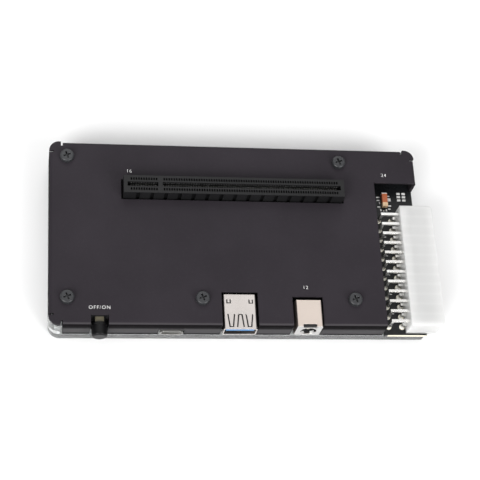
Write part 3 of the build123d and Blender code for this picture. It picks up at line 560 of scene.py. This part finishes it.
@dataclass(frozen=True)
class CellFinish(Finish):
    """Milky plastic whose inner walls show through as pale bands at equal steps along Y."""

    wall: Colour = (0.775, 0.775, 0.765)
    first: float = 0.0
    pitch: float = 4.2 * MM
    wall_reach: float = 0.9 * MM

    def body_colour(self, surface: Surface, grain: Node) -> NodeSocket:
        """Lightens the colour over each wall between two cells.

        Args:
            surface: The material in the making.
            grain: Its grain group.

        Returns:
            The banded colour's socket.
        """
        hollow = super().body_colour(surface, grain)
        from_wall = surface.reckon("SUBTRACT", surface.along(Along.Y), self.first)
        swing = surface.reckon("PINGPONG", from_wall, self.pitch / 2)
        near_wall = ramped(surface.tree, swing, zero_at=self.wall_reach, one_at=0.0)
        return surface.blend(hollow, self.wall, near_wall)


@dataclass(frozen=True)
class ClearFinish:
    """Clear polished plastic with faint handling marks."""

    colour: Colour = (0.95, 0.97, 0.97)
    streak: Colour = (0.88, 0.9, 0.9)
    ior: float = 1.49
    clearness: float = 0.94
    rough: tuple[float, float] = (0.01, 0.05)
    ripple: float = 0.02 * MM
    streak_span: tuple[float, float] = (0.45, 0.7)

    def material(self, name: str) -> Material:
        """Builds the material.

        Args:
            name: Name of the material.

        Returns:
            The finished material.
        """
        surface = Surface(name)
        grain = surface.grain(Texture.HANDLED)
        surface.feed("Roughness", surface.span(grain.outputs["Tone"], *self.rough))
        surface.bump(grain.outputs["Height"], self.ripple, None)
        streaks = ramped(surface.tree, grain.outputs["Tone"], *self.streak_span)
        surface.feed("Base Color", surface.blend(self.colour, self.streak, streaks))
        surface.put({"IOR": self.ior, "Transmission Weight": self.clearness})
        return surface.material


@dataclass(frozen=True)
class BoardFinish:
    """Black solder mask with the faint relief of copper tracks under it."""

    colour: Colour = (0.006, 0.0065, 0.0075)
    track: Colour = (0.0085, 0.0095, 0.0105)
    track_scale: float = 210.0
    track_width: float = 0.16
    track_edge: tuple[float, float] = (0.3, 0.5)
    relief: float = 0.01 * MM
    rough: tuple[float, float] = (0.24, 0.36)
    specular: float = 0.35

    def material(self, name: str) -> Material:
        """Builds the material.

        Args:
            name: Name of the material.

        Returns:
            The finished material.
        """
        surface = Surface(name)
        place = add_node(surface.tree, "ShaderNodeTexCoord").outputs["Object"]
        cells = add_node(
            surface.tree, "ShaderNodeTexVoronoi", {"Vector": place, "Scale": self.track_scale},
            feature="F1", distance="MANHATTAN",
        )
        rings = surface.reckon("PINGPONG", cells.outputs["Distance"], self.track_width)
        edge = (share * self.track_width for share in self.track_edge)
        tracks = ramped(surface.tree, rings, *edge)
        grain = surface.grain(Texture.COATED_BOARD)
        surface.feed("Base Color", surface.blend(self.colour, self.track, tracks))
        surface.feed("Roughness", surface.span(grain.outputs["Tone"], *self.rough))
        surface.bump(tracks, self.relief, None)
        surface.put({"Specular IOR Level": self.specular})
        return surface.material


METAL = {"Metallic": 1.0}
SOFT_METAL = {"Metallic": 0.6}
PALE_METAL = {"Metallic": 0.3}
DULL = {"Specular IOR Level": 0.3}
FINISHES = {
    "powder_coat": FoldFinishWithPaintedLight(
        (0.0275, 0.0237, 0.0287), (0.09, 0.085, 0.09), tone=0.1, edge_wear_and_highlight=0.2, edge_radius=0.35 * MM, dust=0.008,
        rough=(0.34, 0.42), texture=Texture.POWDER, depth=0.005 * MM, constants={"Specular IOR Level": 0.07},
        sheet_top=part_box("top_cover")[1].z, front=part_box("top_cover")[0].y,
        stripes=(
            # Painted highlight along the front fold
            PaintedLightStripe((0.05, 0.046, 0.05), top=0.12 * MM, bottom=0.5 * MM, softness=0.06 * MM, front_only=True),
            # Painted shade below the folds on every side
            PaintedLightStripe((0.016, 0.0142, 0.0165), top=0.6 * MM, bottom=12.0 * MM, softness=0.1 * MM, dulling=0.3),
            # Painted shade below the front fold, darker still
            PaintedLightStripe((0.0055, 0.0048, 0.0055), top=0.6 * MM, bottom=12.0 * MM, softness=0.1 * MM,
                   front_only=True, dulling=0.25),
            # Painted reflection: the front flange's lower part is lighter
            PaintedLightStripe((0.038, 0.036, 0.039), top=3.8 * MM, bottom=8.9 * MM, softness=1.0 * MM,
                   front_only=True, dulling=-0.55),
        ),
    ),
    # Painted highlight on the head's rim and painted shade in the cross recess
    "blackened_screw": Finish(
        (0.03, 0.031, 0.034), (0.26, 0.26, 0.27), edge_wear_and_highlight=0.7, rough=(0.3, 0.42), crevice_shade=1.0,
        crevice_shade_reach=0.7 * MM, constants={"Specular IOR Level": 0.4},
    ),
    "clear_tray": ClearFinish(),
    "soft_rubber": Finish(
        (0.014, 0.014, 0.015), edge_wear_and_highlight=0.05, dust=0.02, rough=(0.7, 0.85), texture=Texture.COARSE,
        constants=DULL,
    ),
    "turned_brass": Finish(
        (0.68, 0.47, 0.2), (0.85, 0.7, 0.4), dust=0.02, rough=(0.22, 0.36), texture=Texture.BRUSHED,
        constants=METAL,
    ),
    "solder_mask": BoardFinish(),
    # Painted shade darkens the grooves and recesses of the housing
    "slot_moulding": Finish(
        (0.0118, 0.0118, 0.0125), (0.05, 0.05, 0.05), edge_wear_and_highlight=0.5, edge_radius=0.2 * MM, dust=0.006,
        rough=(0.38, 0.5), crevice_shade=1.0, crevice_shade_reach=1.4 * MM, constants={"Specular IOR Level": 0.25},
    ),
    # Painted shade: the contacts are bright only in a thin band near the slot's mouth and near-black above and
    # below it
    "comb_contact": BandFinishWithPaintedShade(
        (0.97, 0.95, 0.9), (0.98, 0.97, 0.94), rough=(0.26, 0.38), constants={"Metallic": 0.15},
        axis=Along.Z, low=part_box("slot_housing")[1].z - 2.9 * MM, high=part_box("slot_housing")[1].z - 2.2 * MM,
        softness=0.12 * MM,
    ),
    "chip_moulding": Finish(
        (0.014, 0.014, 0.015), (0.06, 0.06, 0.06), dust=0.02, rough=(0.45, 0.6), constants=DULL,
    ),
    "plated_contact": Finish((0.9, 0.85, 0.72), (0.97, 0.94, 0.86), rough=(0.24, 0.36), constants=SOFT_METAL),
    "milky_nylon": CellFinish(
        (0.74, 0.74, 0.73), (0.86, 0.86, 0.85), tone=0.02, edge_wear_and_highlight=0.3, edge_radius=0.4 * MM,
        first=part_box("atx_housing")[0].y + 0.6 * MM, rough=(0.32, 0.42), texture=Texture.COARSE,
        constants={"Subsurface Weight": 0.85, "Subsurface Radius": (1.0, 1.0, 1.0),
                   "Subsurface Scale": 6.0 * MM, "IOR": 1.52, "Transmission Weight": 0.15},
    ),
    "tinned_pin": Finish(
        (0.97, 0.94, 0.88), (0.98, 0.96, 0.92), rough=(0.2, 0.3), constants={"Metallic": 0.92},
    ),
    # Painted highlight: the shell's edges are lightened nearly to white
    "bright_shell": Finish(
        (0.75, 0.7, 0.67), (0.99, 0.98, 0.97), tone=0.04, edge_wear_and_highlight=0.9, edge_radius=0.28 * MM, rough=(0.22, 0.34),
        texture=Texture.BRUSHED, depth=0.004 * MM, constants=METAL,
    ),
    # Painted highlight along the edges, and painted shade: the front face is toned a cooler grey than the rest of
    # the same metal
    "warm_shield": BandFinishWithPaintedShade(
        (0.78, 0.68, 0.61), (0.99, 0.97, 0.95), tone=0.04, edge_wear_and_highlight=0.9, edge_radius=0.28 * MM,
        rough=(0.26, 0.38), texture=Texture.BRUSHED, depth=0.004 * MM, constants=METAL,
        outside=(0.62, 0.61, 0.6), low=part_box("dc_jack_shield")[0].y + 0.3 * MM,
    ),
    "small_shell": Finish(
        (0.5, 0.49, 0.47), (0.9, 0.89, 0.88), rough=(0.24, 0.36), constants={"Metallic": 0.85},
    ),
    "small_leaf": Finish((0.9, 0.9, 0.89), (0.95, 0.95, 0.94), rough=(0.2, 0.32), constants=PALE_METAL),
    # Painted shade: the tongue is blue only along its front edge and near-black behind it, where the shell shades
    # it
    "blue_tongue": BandFinishWithPaintedShade(
        (0.04, 0.21, 0.5), (0.2, 0.45, 0.75), rough=(0.3, 0.4),
        high=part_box("usb_a_tongue")[0].y + 0.35 * MM,
    ),
    # Painted shade: the cream plunger is darkened to an olive brown, as it sits shaded under the cap
    "cream_plunger_in_painted_shade": Finish(
        (0.15, 0.135, 0.092), (0.3, 0.27, 0.2), dust=0.02, rough=(0.4, 0.5), constants=DULL,
    ),
    "glossy_cap": Finish(
        (0.006, 0.006, 0.0065), (0.05, 0.05, 0.05), edge_wear_and_highlight=0.4, rough=(0.28, 0.38),
        constants={"Specular IOR Level": 0.22},
    ),
    "orange_epoxy": Finish((0.5, 0.13, 0.045), (0.6, 0.3, 0.15), rough=(0.32, 0.45)),
    "pale_end": Finish((0.82, 0.58, 0.36), (0.92, 0.82, 0.65), rough=(0.28, 0.4)),
    "white_ceramic": Finish((0.7, 0.7, 0.69), (0.85, 0.85, 0.83), rough=(0.35, 0.5)),
    "plain_aluminium": Finish(
        (0.72, 0.72, 0.73), (0.85, 0.85, 0.86), dust=0.02, rough=(0.3, 0.42), texture=Texture.BRUSHED,
        constants=METAL,
    ),
    "grey_core": Finish((0.12, 0.12, 0.125), dust=0.02, rough=(0.5, 0.65), texture=Texture.COARSE),
    "white_ink": Finish((0.9, 0.9, 0.89), tone=0.04, edge_wear_and_highlight=0.0, rough=(0.5, 0.6)),
    "solder": Finish((0.95, 0.93, 0.88), (0.97, 0.96, 0.93), rough=(0.2, 0.34), constants=PALE_METAL),
    "gilt_ring": Finish((0.93, 0.86, 0.72), (0.95, 0.9, 0.8), rough=(0.24, 0.36), constants=PALE_METAL),
    "glass_laminate": Finish((0.8, 0.76, 0.62), (0.85, 0.82, 0.7), rough=(0.5, 0.65)),
}
MATERIALS = {name: finish.material(name) for name, finish in FINISHES.items()}


# Piece helpers


def dress(nodes: dict[str, str]) -> None:
    """Gives CAD nodes their finishes, with their meshes left as they are.

    Args:
        nodes: Name of each node and of its finish.
    """
    for node, finish in nodes.items():
        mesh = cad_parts[node].data
        mesh.materials.clear()
        mesh.materials.append(MATERIALS[finish])
        LOG.info("dressed %s in %s", node, finish)


def new_piece(name: str, mesh: Mesh, finish: str, body: Body = Body.ENCLOSURE) -> None:
    """Adds a finished mesh to the scene as a piece that rides on a body.

    Args:
        name: Name of the piece.
        mesh: Mesh with its place in its vertices.
        finish: Name of its finish.
        body: Body that carries it.
    """
    mesh.materials.clear()
    mesh.materials.append(MATERIALS[finish])
    piece = bpy.data.objects.new(name, mesh)
    bpy.context.scene.collection.objects.link(piece)
    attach(piece, body.value)
    LOG.info("added %s", name)


def bars_mesh(name: str, boxes: list[Box], bevel: float = 0.0) -> Mesh:
    """Builds one mesh of upright bars.

    Args:
        name: Name of the mesh.
        boxes: Lowest and highest corner of each bar.
        bevel: Width of the bevel along their edges.

    Returns:
        The mesh.
    """
    shape = bmesh.new()
    for low, high in boxes:
        size = [b - a for a, b in zip(low, high)]
        middle = [(a + b) / 2 for a, b in zip(low, high)]
        place = Matrix.Translation(middle) @ Matrix.Diagonal((*size, 1.0))
        bmesh.ops.create_cube(shape, size=1.0, matrix=place)
    if bevel:
        bmesh.ops.bevel(shape, geom=shape.edges[:], offset=bevel, segments=2, affect="EDGES", profile=0.5)
    mesh = bpy.data.meshes.new(name)
    shape.to_mesh(mesh)
    shape.free()
    return mesh


def text_mesh(name: str, words: str, height: float, centre: Point, thickness: float) -> Mesh:
    """Builds flat lettering that lies face up.

    Args:
        name: Name of the mesh.
        words: What it says.
        height: Height of a capital letter.
        centre: Middle of the words, at their underside.
        thickness: Thickness of the ink.

    Returns:
        The mesh, in place.
    """
    curve = bpy.data.curves.new(name, "FONT")
    curve.body = words
    curve.align_x = "CENTER"
    curve.align_y = "CENTER"
    curve.size = height / CAPITAL_SHARE
    curve.extrude = thickness / 2
    curve.offset = -STROKE_THINNING * height
    curve.space_character = LETTER_SPACING
    curve.resolution_u = LETTER_STEPS
    holder = bpy.data.objects.new(name + "_curve", curve)
    bpy.context.scene.collection.objects.link(holder)
    bpy.context.view_layer.update()
    seen = holder.evaluated_get(bpy.context.evaluated_depsgraph_get())
    mesh = bpy.data.meshes.new_from_object(seen)
    bpy.data.objects.remove(holder)
    bpy.data.curves.remove(curve)
    mesh.transform(Matrix.Translation((centre[0], centre[1], centre[2] + thickness / 2)))
    return mesh


# Repeats made by geometry nodes


def open_repeat(name: str, inputs: dict[str, str]) -> tuple[NodeTree, Node, NodeSocket]:
    """Starts a geometry node tree whose points stand on a grid.

    Args:
        name: Name of the tree.
        inputs: Name and socket type of the inputs for the repeated shape.

    Returns:
        The tree, its input node and the socket with the grid's points.
    """
    tree = bpy.data.node_groups.new(name, "GeometryNodeTree")
    tree.interface.new_socket(name="Geometry", in_out="OUTPUT", socket_type="NodeSocketGeometry")
    grid_inputs = {
        "Columns": "NodeSocketInt", "Rows": "NodeSocketInt", "Column Step": "NodeSocketVector",
        "Row Step": "NodeSocketVector", "Start": "NodeSocketVector", "Material": "NodeSocketMaterial",
    }
    for label, kind in {**grid_inputs, **inputs}.items():
        tree.interface.new_socket(name=label, in_out="INPUT", socket_type=kind)
    start = add_node(tree, "NodeGroupInput")
    given = start.outputs
    row = add_node(tree, "GeometryNodeMeshLine", {
        "Count": given["Rows"], "Start Location": given["Start"], "Offset": given["Row Step"],
    })
    column = add_node(tree, "GeometryNodeMeshLine", {
        "Count": given["Columns"], "Offset": given["Column Step"],
    })
    grid = add_node(tree, "GeometryNodeInstanceOnPoints", {
        "Points": row.outputs[0], "Instance": column.outputs[0],
    })
    points = add_node(tree, "GeometryNodeRealizeInstances", {0: grid.outputs[0]})
    return tree, start, points.outputs[0]


def close_repeat(tree: NodeTree, start: Node, points: NodeSocket, shape: NodeSocket) -> NodeTree:
    """Ends a repeat tree: the shape stands at each point, is made real and gets its material.

    Args:
        tree: The tree.
        start: Its input node.
        points: The grid's points.
        shape: The shape to repeat.

    Returns:
        The finished tree.
    """
    placed = add_node(tree, "GeometryNodeInstanceOnPoints", {"Points": points, "Instance": shape})
    real = add_node(tree, "GeometryNodeRealizeInstances", {0: placed.outputs[0]})
    coloured = add_node(tree, "GeometryNodeSetMaterial", {
        "Geometry": real.outputs[0], "Material": start.outputs["Material"],
    })
    add_node(tree, "NodeGroupOutput", {0: coloured.outputs[0]})
    return tree


def fillet_tree() -> NodeTree:
    """Builds the tree that stands a short solder cone at each step of a grid.

    Returns:
        The tree.
    """
    tree, start, points = open_repeat(
        "solder_fillets",
        {"Upper Radius": "NodeSocketFloat", "Lower Radius": "NodeSocketFloat", "Height": "NodeSocketFloat"},
    )
    cone = add_node(tree, "GeometryNodeMeshCone", {
        "Vertices": 14, "Side Segments": 2, "Radius Top": start.outputs["Upper Radius"],
        "Radius Bottom": start.outputs["Lower Radius"], "Depth": start.outputs["Height"],
    })
    return close_repeat(tree, start, points, cone.outputs[0])


def ring_tree() -> NodeTree:
    """Builds the tree that lays a round pad ring at each step of a grid.

    Returns:
        The tree.
    """
    tree, start, points = open_repeat(
        "pad_rings", {"Ring Radius": "NodeSocketFloat", "Wire Radius": "NodeSocketFloat"}
    )
    circle = "GeometryNodeCurvePrimitiveCircle"
    path = add_node(tree, circle, {"Resolution": 20, "Radius": start.outputs["Ring Radius"]})
    profile = add_node(tree, circle, {"Resolution": 6, "Radius": start.outputs["Wire Radius"]})
    ring = add_node(tree, "GeometryNodeCurveToMesh", {
        "Curve": path.outputs[0], "Profile Curve": profile.outputs[0],
    })
    return close_repeat(tree, start, points, ring.outputs[0])


FILLETS = fillet_tree()
RINGS = ring_tree()


@dataclass
class Grid:
    """A grid of equal steps on which a shape is repeated."""

    start: Point
    columns: int
    column_step: Point
    rows: int = 1
    row_step: Point = (0.0, 0.0, 0.0)

    def grow(self, name: str, tree: NodeTree, finish: str, sizes: dict[str, float]) -> Mesh:
        """Runs a repeat tree on this grid and keeps the result as a plain mesh.

        Args:
            name: Name of the mesh.
            tree: The repeat tree.
            finish: Name of the finish that the tree sets.
            sizes: Sizes of the repeated shape.

        Returns:
            The plain mesh.
        """
        values = {
            "Columns": self.columns, "Rows": self.rows, "Column Step": self.column_step,
            "Row Step": self.row_step, "Start": self.start, "Material": MATERIALS[finish], **sizes,
        }
        holder = bpy.data.objects.new(name + "_holder", bpy.data.meshes.new(name + "_seed"))
        bpy.context.scene.collection.objects.link(holder)
        modifier = holder.modifiers.new("grow", "NODES")
        modifier.node_group = tree
        for item in tree.interface.items_tree:
            if item.in_out == "INPUT" and item.name in values:
                modifier[item.identifier] = values[item.name]
        bpy.context.view_layer.update()
        seen = holder.evaluated_get(bpy.context.evaluated_depsgraph_get())
        mesh = bpy.data.meshes.new_from_object(seen)
        mesh.name = name
        holder.modifiers.remove(modifier)
        bpy.data.objects.remove(holder)
        return mesh


# Sub-assemblies


@dataclass
class Cover:
    """The folded cover, its screws and the plain marks printed on it."""

    ink: float = 0.02 * MM
    letter: float = 1.42 * MM

    def build(self) -> None:
        """Dresses the sheet and the screws, and prints the marks."""
        dress({"top_cover": "powder_coat", "cover_screws": "blackened_screw"})
        low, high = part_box("top_cover")
        # Each mark's words and middle, in millimetres from the cover's front left corner
        marks = {
            "slot_mark": ("16", (31.6, 65.4)),
            "header_mark": ("24", (136.4, 66.2)),
            "jack_mark": ("12", (100.0, 16.1)),
            "switch_mark": ("OFF/ON", (19.3, 7.1)),
        }
        for name, (words, (x, y)) in marks.items():
            centre = (low.x + x * MM, low.y + y * MM, high.z)
            new_piece(name, text_mesh(name, words, self.letter, centre, self.ink), "white_ink")


@dataclass
class Base:
    """The clear tray, its feet and what the screws hold in."""

    def build(self) -> None:
        """Dresses the pieces under the board."""
        dress({
            "base_tray": "clear_tray", "rubber_feet": "soft_rubber", "threaded_inserts": "turned_brass",
            "board_spacers": "turned_brass",
        })


@dataclass
class Board:
    """The circuit board, the parts on it and its print."""

    ink: float = 0.03 * MM
    front_end: float = 1.7 * MM
    rear_end: float = 0.4 * MM
    end_wrap: float = 0.03 * MM
    end_bevel: float = 0.1 * MM
    edge_skin: float = 0.03 * MM
    left_gap: float = 0.7 * MM
    right_gap: float = 0.4 * MM
    front_gap: float = 1.7 * MM
    # Outlines beside the pins: sizes in millimetres, and the shift in steps from pin to pin
    outline: tuple[float, float] = (1.2, 1.3)
    outline_stroke: float = 0.25
    outline_shift: float = 0.3

    def build(self) -> None:
        """Dresses the board and its parts, and adds print, terminals and the cut edge."""
        dress({
            "main_board": "solder_mask", "tantalum_capacitor": "orange_epoxy",
            "chip_resistors": "white_ceramic", "controller_chip": "chip_moulding",
            "memory_chips": "chip_moulding", "power_transistors": "chip_moulding",
            "heat_sink": "plain_aluminium", "polymer_capacitors": "plain_aluminium",
            "power_inductors": "grey_core", "timing_crystals": "bright_shell",
        })
        self.capacitor_ends()
        self.print_marks()
        self.cut_edge()

    def capacitor_ends(self) -> None:
        """Wraps a terminal round each end of the orange capacitor."""
        low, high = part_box("tantalum_capacitor")
        wrap = self.end_wrap
        front = ((low.x - wrap, low.y - wrap, low.z), (high.x + wrap, low.y + self.front_end, high.z + wrap))
        rear = ((low.x - wrap, high.y - self.rear_end, low.z), (high.x + wrap, high.y + wrap, high.z + wrap))
        ends = {"capacitor_front_end": (front, "pale_end"), "capacitor_rear_end": (rear, "solder")}
        for name, (box, finish) in ends.items():
            new_piece(name, bars_mesh(name, [box], self.end_bevel), finish)

    def print_marks(self) -> None:
        """Prints plain bars round the capacitor and short outlines beside the pins."""
        low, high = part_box("tantalum_capacitor")
        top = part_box("main_board")[1].z
        # Each bar's place along its side, width and depth, in millimetres
        left = [(0.0, 1.2, 0.5), (1.6, 0.35, 1.0), (3.0, 1.3, 0.5), (4.4, 1.3, 0.5)]
        right = [(-0.9, 1.0, 0.5), (0.5, 1.4, 0.6), (2.9, 1.4, 1.4), (5.0, 1.1, 0.5)]
        front = [(-0.8, 0.5, 1.0), (0.4, 0.5, 0.4), (1.5, 0.55, 1.0)]
        flat = [(low.x - self.left_gap - w * MM, low.y + y * MM, w, d) for y, w, d in left]
        flat += [(high.x + self.right_gap, low.y + y * MM, w, d) for y, w, d in right]
        flat += [(low.x + x * MM, low.y - self.front_gap, w, d) for x, w, d in front]
        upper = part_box("atx_upper_pins")
        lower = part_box("atx_lower_pins")
        pitch = (upper[1].y - upper[0].y - PowerHeader.pin) / (PowerHeader.columns - 1)
        width, depth = self.outline
        stroke = self.outline_stroke
        x = (upper[0].x + lower[0].x - width * MM) / 2
        for i in range(1, PowerHeader.columns - 1, 2):
            y = upper[0].y + PowerHeader.pin / 2 + (i + self.outline_shift) * pitch
            far = y + (depth - stroke) * MM
            flat += [(x, y, stroke, depth), (x, y, width, stroke), (x, far, width, stroke)]
        boxes = [((x, y, top), (x + w * MM, y + d * MM, top + self.ink)) for x, y, w, d in flat]
        new_piece("board_print", bars_mesh("board_print", boxes), "white_ink")

    def cut_edge(self) -> None:
        """Skins the board's open front and right edges, where the glass laminate shows."""
        low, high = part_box("main_board")
        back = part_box("atx_upper_pins")[0].x
        skin = self.edge_skin
        front = ((back, low.y - skin, low.z), (high.x, low.y, high.z))
        side = ((high.x, low.y, low.z), (high.x + skin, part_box("atx_housing")[1].y, high.z))
        skins = bars_mesh("board_cut_edge", [front, side])
        new_piece("board_cut_edge", skins, "glass_laminate")


@dataclass
class CardSlot:
    """The card slot, its contacts and the solder under the board."""

    pitch: float = 1.0 * MM
    short_run: int = 11
    long_run: int = 71
    key_step: float = 3.0 * MM
    first: float = 3.0 * MM
    rows_apart: float = 5.0 * MM
    bump: float = 0.35 * MM
    bump_foot: float = 0.38 * MM
    bump_tip: float = 0.14 * MM

    def build(self) -> None:
        """Dresses the housing and the contacts, and solders the tails."""
        dress({"slot_housing": "slot_moulding", "slot_contacts": "comb_contact"})
        low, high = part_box("slot_housing")
        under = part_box("main_board")[0].z
        left = low.x + self.first
        behind_key = left + (self.short_run - 1) * self.pitch + self.key_step
        runs = {"slot_short_solder": (left, self.short_run), "slot_long_solder": (behind_key, self.long_run)}
        front_row = (low.y + high.y - self.rows_apart) / 2
        sizes = {"Upper Radius": self.bump_foot, "Lower Radius": self.bump_tip, "Height": self.bump}
        for name, (start, count) in runs.items():
            grid = Grid(
                (start, front_row, under - self.bump), count, (self.pitch, 0.0, 0.0),
                rows=2, row_step=(0.0, self.rows_apart, 0.0),
            )
            new_piece(name, grid.grow(name, FILLETS, "solder", sizes), "solder")


@dataclass
class PowerHeader:
    """The milky power header, its bent pins and their solder."""

    columns: int = 12
    pin: float = 1.07 * MM
    foot: float = 0.95 * MM
    neck: float = 0.66 * MM
    height: float = 0.35 * MM
    ring: float = 1.05 * MM
    ring_wire: float = 0.13 * MM

    def build(self) -> None:
        """Dresses the header and solders its pins on both sides of the board."""
        dress({"atx_housing": "milky_nylon"})
        for row in PinRow:
            dress({f"atx_{row.value}_pins": "tinned_pin"})
            self.solder(row)

    def solder(self, row: PinRow) -> None:
        """Adds the pad rings and the fillets of one row of pins.

        Args:
            row: Which row.
        """
        low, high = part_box(f"atx_{row.value}_pins")
        board_low, board_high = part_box("main_board")
        pitch = (high.y - low.y - self.pin) / (self.columns - 1)
        x, y = low.x + self.pin / 2, low.y + self.pin / 2
        over = {"Upper Radius": self.neck, "Lower Radius": self.foot, "Height": self.height}
        under = {"Upper Radius": self.foot, "Lower Radius": self.neck, "Height": self.height}
        rings = {"Ring Radius": self.ring, "Wire Radius": self.ring_wire}
        repeats = {
            "fillets": (board_high.z, FILLETS, over, "solder", "tinned_pin"),
            "under": (board_low.z - self.height, FILLETS, under, "solder", "tinned_pin"),
            "rings": (board_high.z, RINGS, rings, "gilt_ring", "plated_contact"),
        }
        for kind, (z, tree, sizes, finish, slot) in repeats.items():
            name = f"{row.value}_row_{kind}"
            grid = Grid((x, y, z), self.columns, (0.0, pitch, 0.0))
            new_piece(name, grid.grow(name, tree, finish, sizes), finish)


@dataclass
class Ports:
    """The two data ports and the power jack."""

    bore: float = 3.2 * MM
    leaf: float = 0.1 * MM
    leaf_reach: tuple[float, float] = (0.25 * MM, 1.15 * MM)
    leaf_angles: tuple[tuple[float, float], ...] = ((-54.0, -22.0), (22.0, 54.0))
    leaf_steps: int = 8

    def build(self) -> None:
        """Dresses the ports and lines the jack's bore with two contact leaves."""
        dress({
            "usb_a_shell": "bright_shell", "usb_a_tongue": "blue_tongue", "usb_a_contacts": "plated_contact",
            "usb_c_shell": "small_shell", "usb_c_tongue": "chip_moulding", "usb_c_contacts": "plated_contact",
            "dc_jack_shield": "warm_shield", "dc_jack_body": "chip_moulding", "dc_jack_pin": "plated_contact",
            "dc_jack_spring": "plated_contact",
        })
        new_piece("jack_leaves", self.leaves_mesh("jack_leaves"), "small_leaf")

    def leaves_mesh(self, name: str) -> Mesh:
        """Builds two curved leaves that lie low on the wall of the jack's bore.

        Args:
            name: Name of the mesh.

        Returns:
            The mesh.
        """
        low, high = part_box("dc_jack_pin")
        x, z = (low.x + high.x) / 2, (low.z + high.z) / 2
        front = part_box("dc_jack_shield")[0].y
        points, faces = [], []
        sides = ((0, 2), (2, 3), (3, 1), (1, 0))
        corners = len(sides)
        for start, end in self.leaf_angles:
            first = len(points)
            for step in range(self.leaf_steps + 1):
                angle = math.radians(start + (end - start) * step / self.leaf_steps)
                out, down = math.sin(angle), math.cos(angle)
                for radius in (self.bore, self.bore - self.leaf):
                    for depth in self.leaf_reach:
                        points.append((x + radius * out, front + depth, z - radius * down))
            last = len(points) - corners
            faces += [(first, first + 1, first + 3, first + 2), (last + 2, last + 3, last + 1, last)]
            for base in range(first, last, corners):
                after = base + corners
                faces += [(base + a, base + b, after + b, after + a) for a, b in sides]
        mesh = bpy.data.meshes.new(name)
        mesh.from_pydata(points, [], faces)
        mesh.validate()
        shape = bmesh.new()
        shape.from_mesh(mesh)
        bmesh.ops.recalc_face_normals(shape, faces=shape.faces[:])
        shape.to_mesh(mesh)
        shape.free()
        return mesh


@dataclass
class PowerButton:
    """The switch, its plunger and the cap."""

    def build(self) -> None:
        """Dresses the switch and the cap."""
        dress({
            "switch_body": "chip_moulding", "switch_terminals": "tinned_pin",
            "switch_plunger": "cream_plunger_in_painted_shade", "button_cap": "glossy_cap",
        })


@dataclass
class Studio:
    """Floor, lights and camera."""

    azimuth: float = -22.001
    elevation: float = 64.339
    roll: float = 20.935
    place: Point = (-90.823 * MM, -220.387 * MM, 508.703 * MM)
    focal_pixels: float = 1380.065
    image_size: float = 480.0
    sensor: float = 36.0
    nearest: float = 0.01
    horizon: float = 0.12
    zenith: float = 0.9
    sky_span: tuple[float, float] = (0.45, 0.95)
    light_side: float = 1.2
    floor_half: float = 4.0
    floor_tone: Colour = (0.9, 0.9, 0.9)

    def build(self) -> None:
        """Sets up the stage."""
        self.floor()
        self.lights()
        self.camera()

    def floor(self) -> None:
        """Lays a plain pale floor."""
        mesh = bpy.data.meshes.new("floor")
        half = self.floor_half
        corners = [(-half, -half, 0.0), (half, -half, 0.0), (half, half, 0.0), (-half, half, 0.0)]
        mesh.from_pydata(corners, [], [(0, 1, 2, 3)])
        surface = Surface("pale_floor")
        surface.put({"Base Color": (*self.floor_tone, 1.0), "Roughness": 0.8, "Specular IOR Level": 0.2})
        mesh.materials.append(surface.material)
        floor = bpy.data.objects.new("floor", mesh)
        bpy.context.scene.collection.objects.link(floor)

    def lights(self) -> None:
        """Hangs soft studio lights under a sky that is pale above and dim at the horizon."""
        world = bpy.data.worlds.new("studio_sky")
        bpy.context.scene.world = world
        world.use_nodes = True
        tree = world.node_tree
        place = add_node(tree, "ShaderNodeTexCoord").outputs["Generated"]
        height = add_node(tree, "ShaderNodeSeparateXYZ", {0: place}).outputs["Z"]
        low, high = self.sky_span
        values = {0: height, 1: low, 2: high, 3: self.horizon, 4: self.zenith}
        rise = add_node(tree, "ShaderNodeMapRange", values)
        background = tree.nodes["Background"]
        background.inputs[0].default_value = (1.0, 1.0, 1.0, 1.0)
        tree.links.new(rise.outputs[0], background.inputs[1])
        bpy.context.scene.view_settings.view_transform = "Standard"
        self.area("left_light", (-1.2, -1.3, 1.2), power=38.0)
        self.area("right_light", (1.2, -1.3, 1.2), power=27.0)
        self.area("rear_light", (0.0, 1.5, 1.3), power=10.0)

    def area(self, name: str, place: Point, power: float) -> None:
        """Hangs one square area light that looks at the object.

        Args:
            name: Name of the light.
            place: Where it hangs, in metres.
            power: Power in watts.
        """
        data = bpy.data.lights.new(name, "AREA")
        data.size = self.light_side
        data.energy = power
        lamp = bpy.data.objects.new(name, data)
        lamp.location = place
        lamp.rotation_euler = (-Vector(place)).to_track_quat("-Z", "Y").to_euler()
        bpy.context.scene.collection.objects.link(lamp)

    def camera(self) -> None:
        """Stands the camera at the photograph's angle."""
        turn, rise, tilt = (math.radians(a) for a in (self.azimuth, self.elevation, self.roll))
        back = Vector((math.sin(turn) * math.cos(rise), -math.cos(turn) * math.cos(rise), math.sin(rise)))
        right = Vector((0.0, 0.0, 1.0)).cross(back).normalized()
        up = back.cross(right)
        side = math.cos(tilt) * right + math.sin(tilt) * up
        head = -math.sin(tilt) * right + math.cos(tilt) * up
        data = bpy.data.cameras.new("photo_camera")
        data.sensor_width = self.sensor
        data.lens = self.focal_pixels / self.image_size * data.sensor_width
        data.clip_start = self.nearest
        camera = bpy.data.objects.new("photo_camera", data)
        facing = Matrix((side, head, back)).transposed().to_4x4()
        camera.matrix_world = Matrix.Translation(self.place) @ facing
        bpy.context.scene.collection.objects.link(camera)
        bpy.context.scene.camera = camera


def main() -> None:
    """Builds the sub-assemblies in order and logs each one."""
    logging.basicConfig(level=logging.INFO)
    for assembly in (Cover(), Base(), Board(), CardSlot(), PowerHeader(), Ports(), PowerButton(), Studio()):
        assembly.build()
        LOG.info("built %s", type(assembly).__name__)


if __name__ == "__main__":
    main()
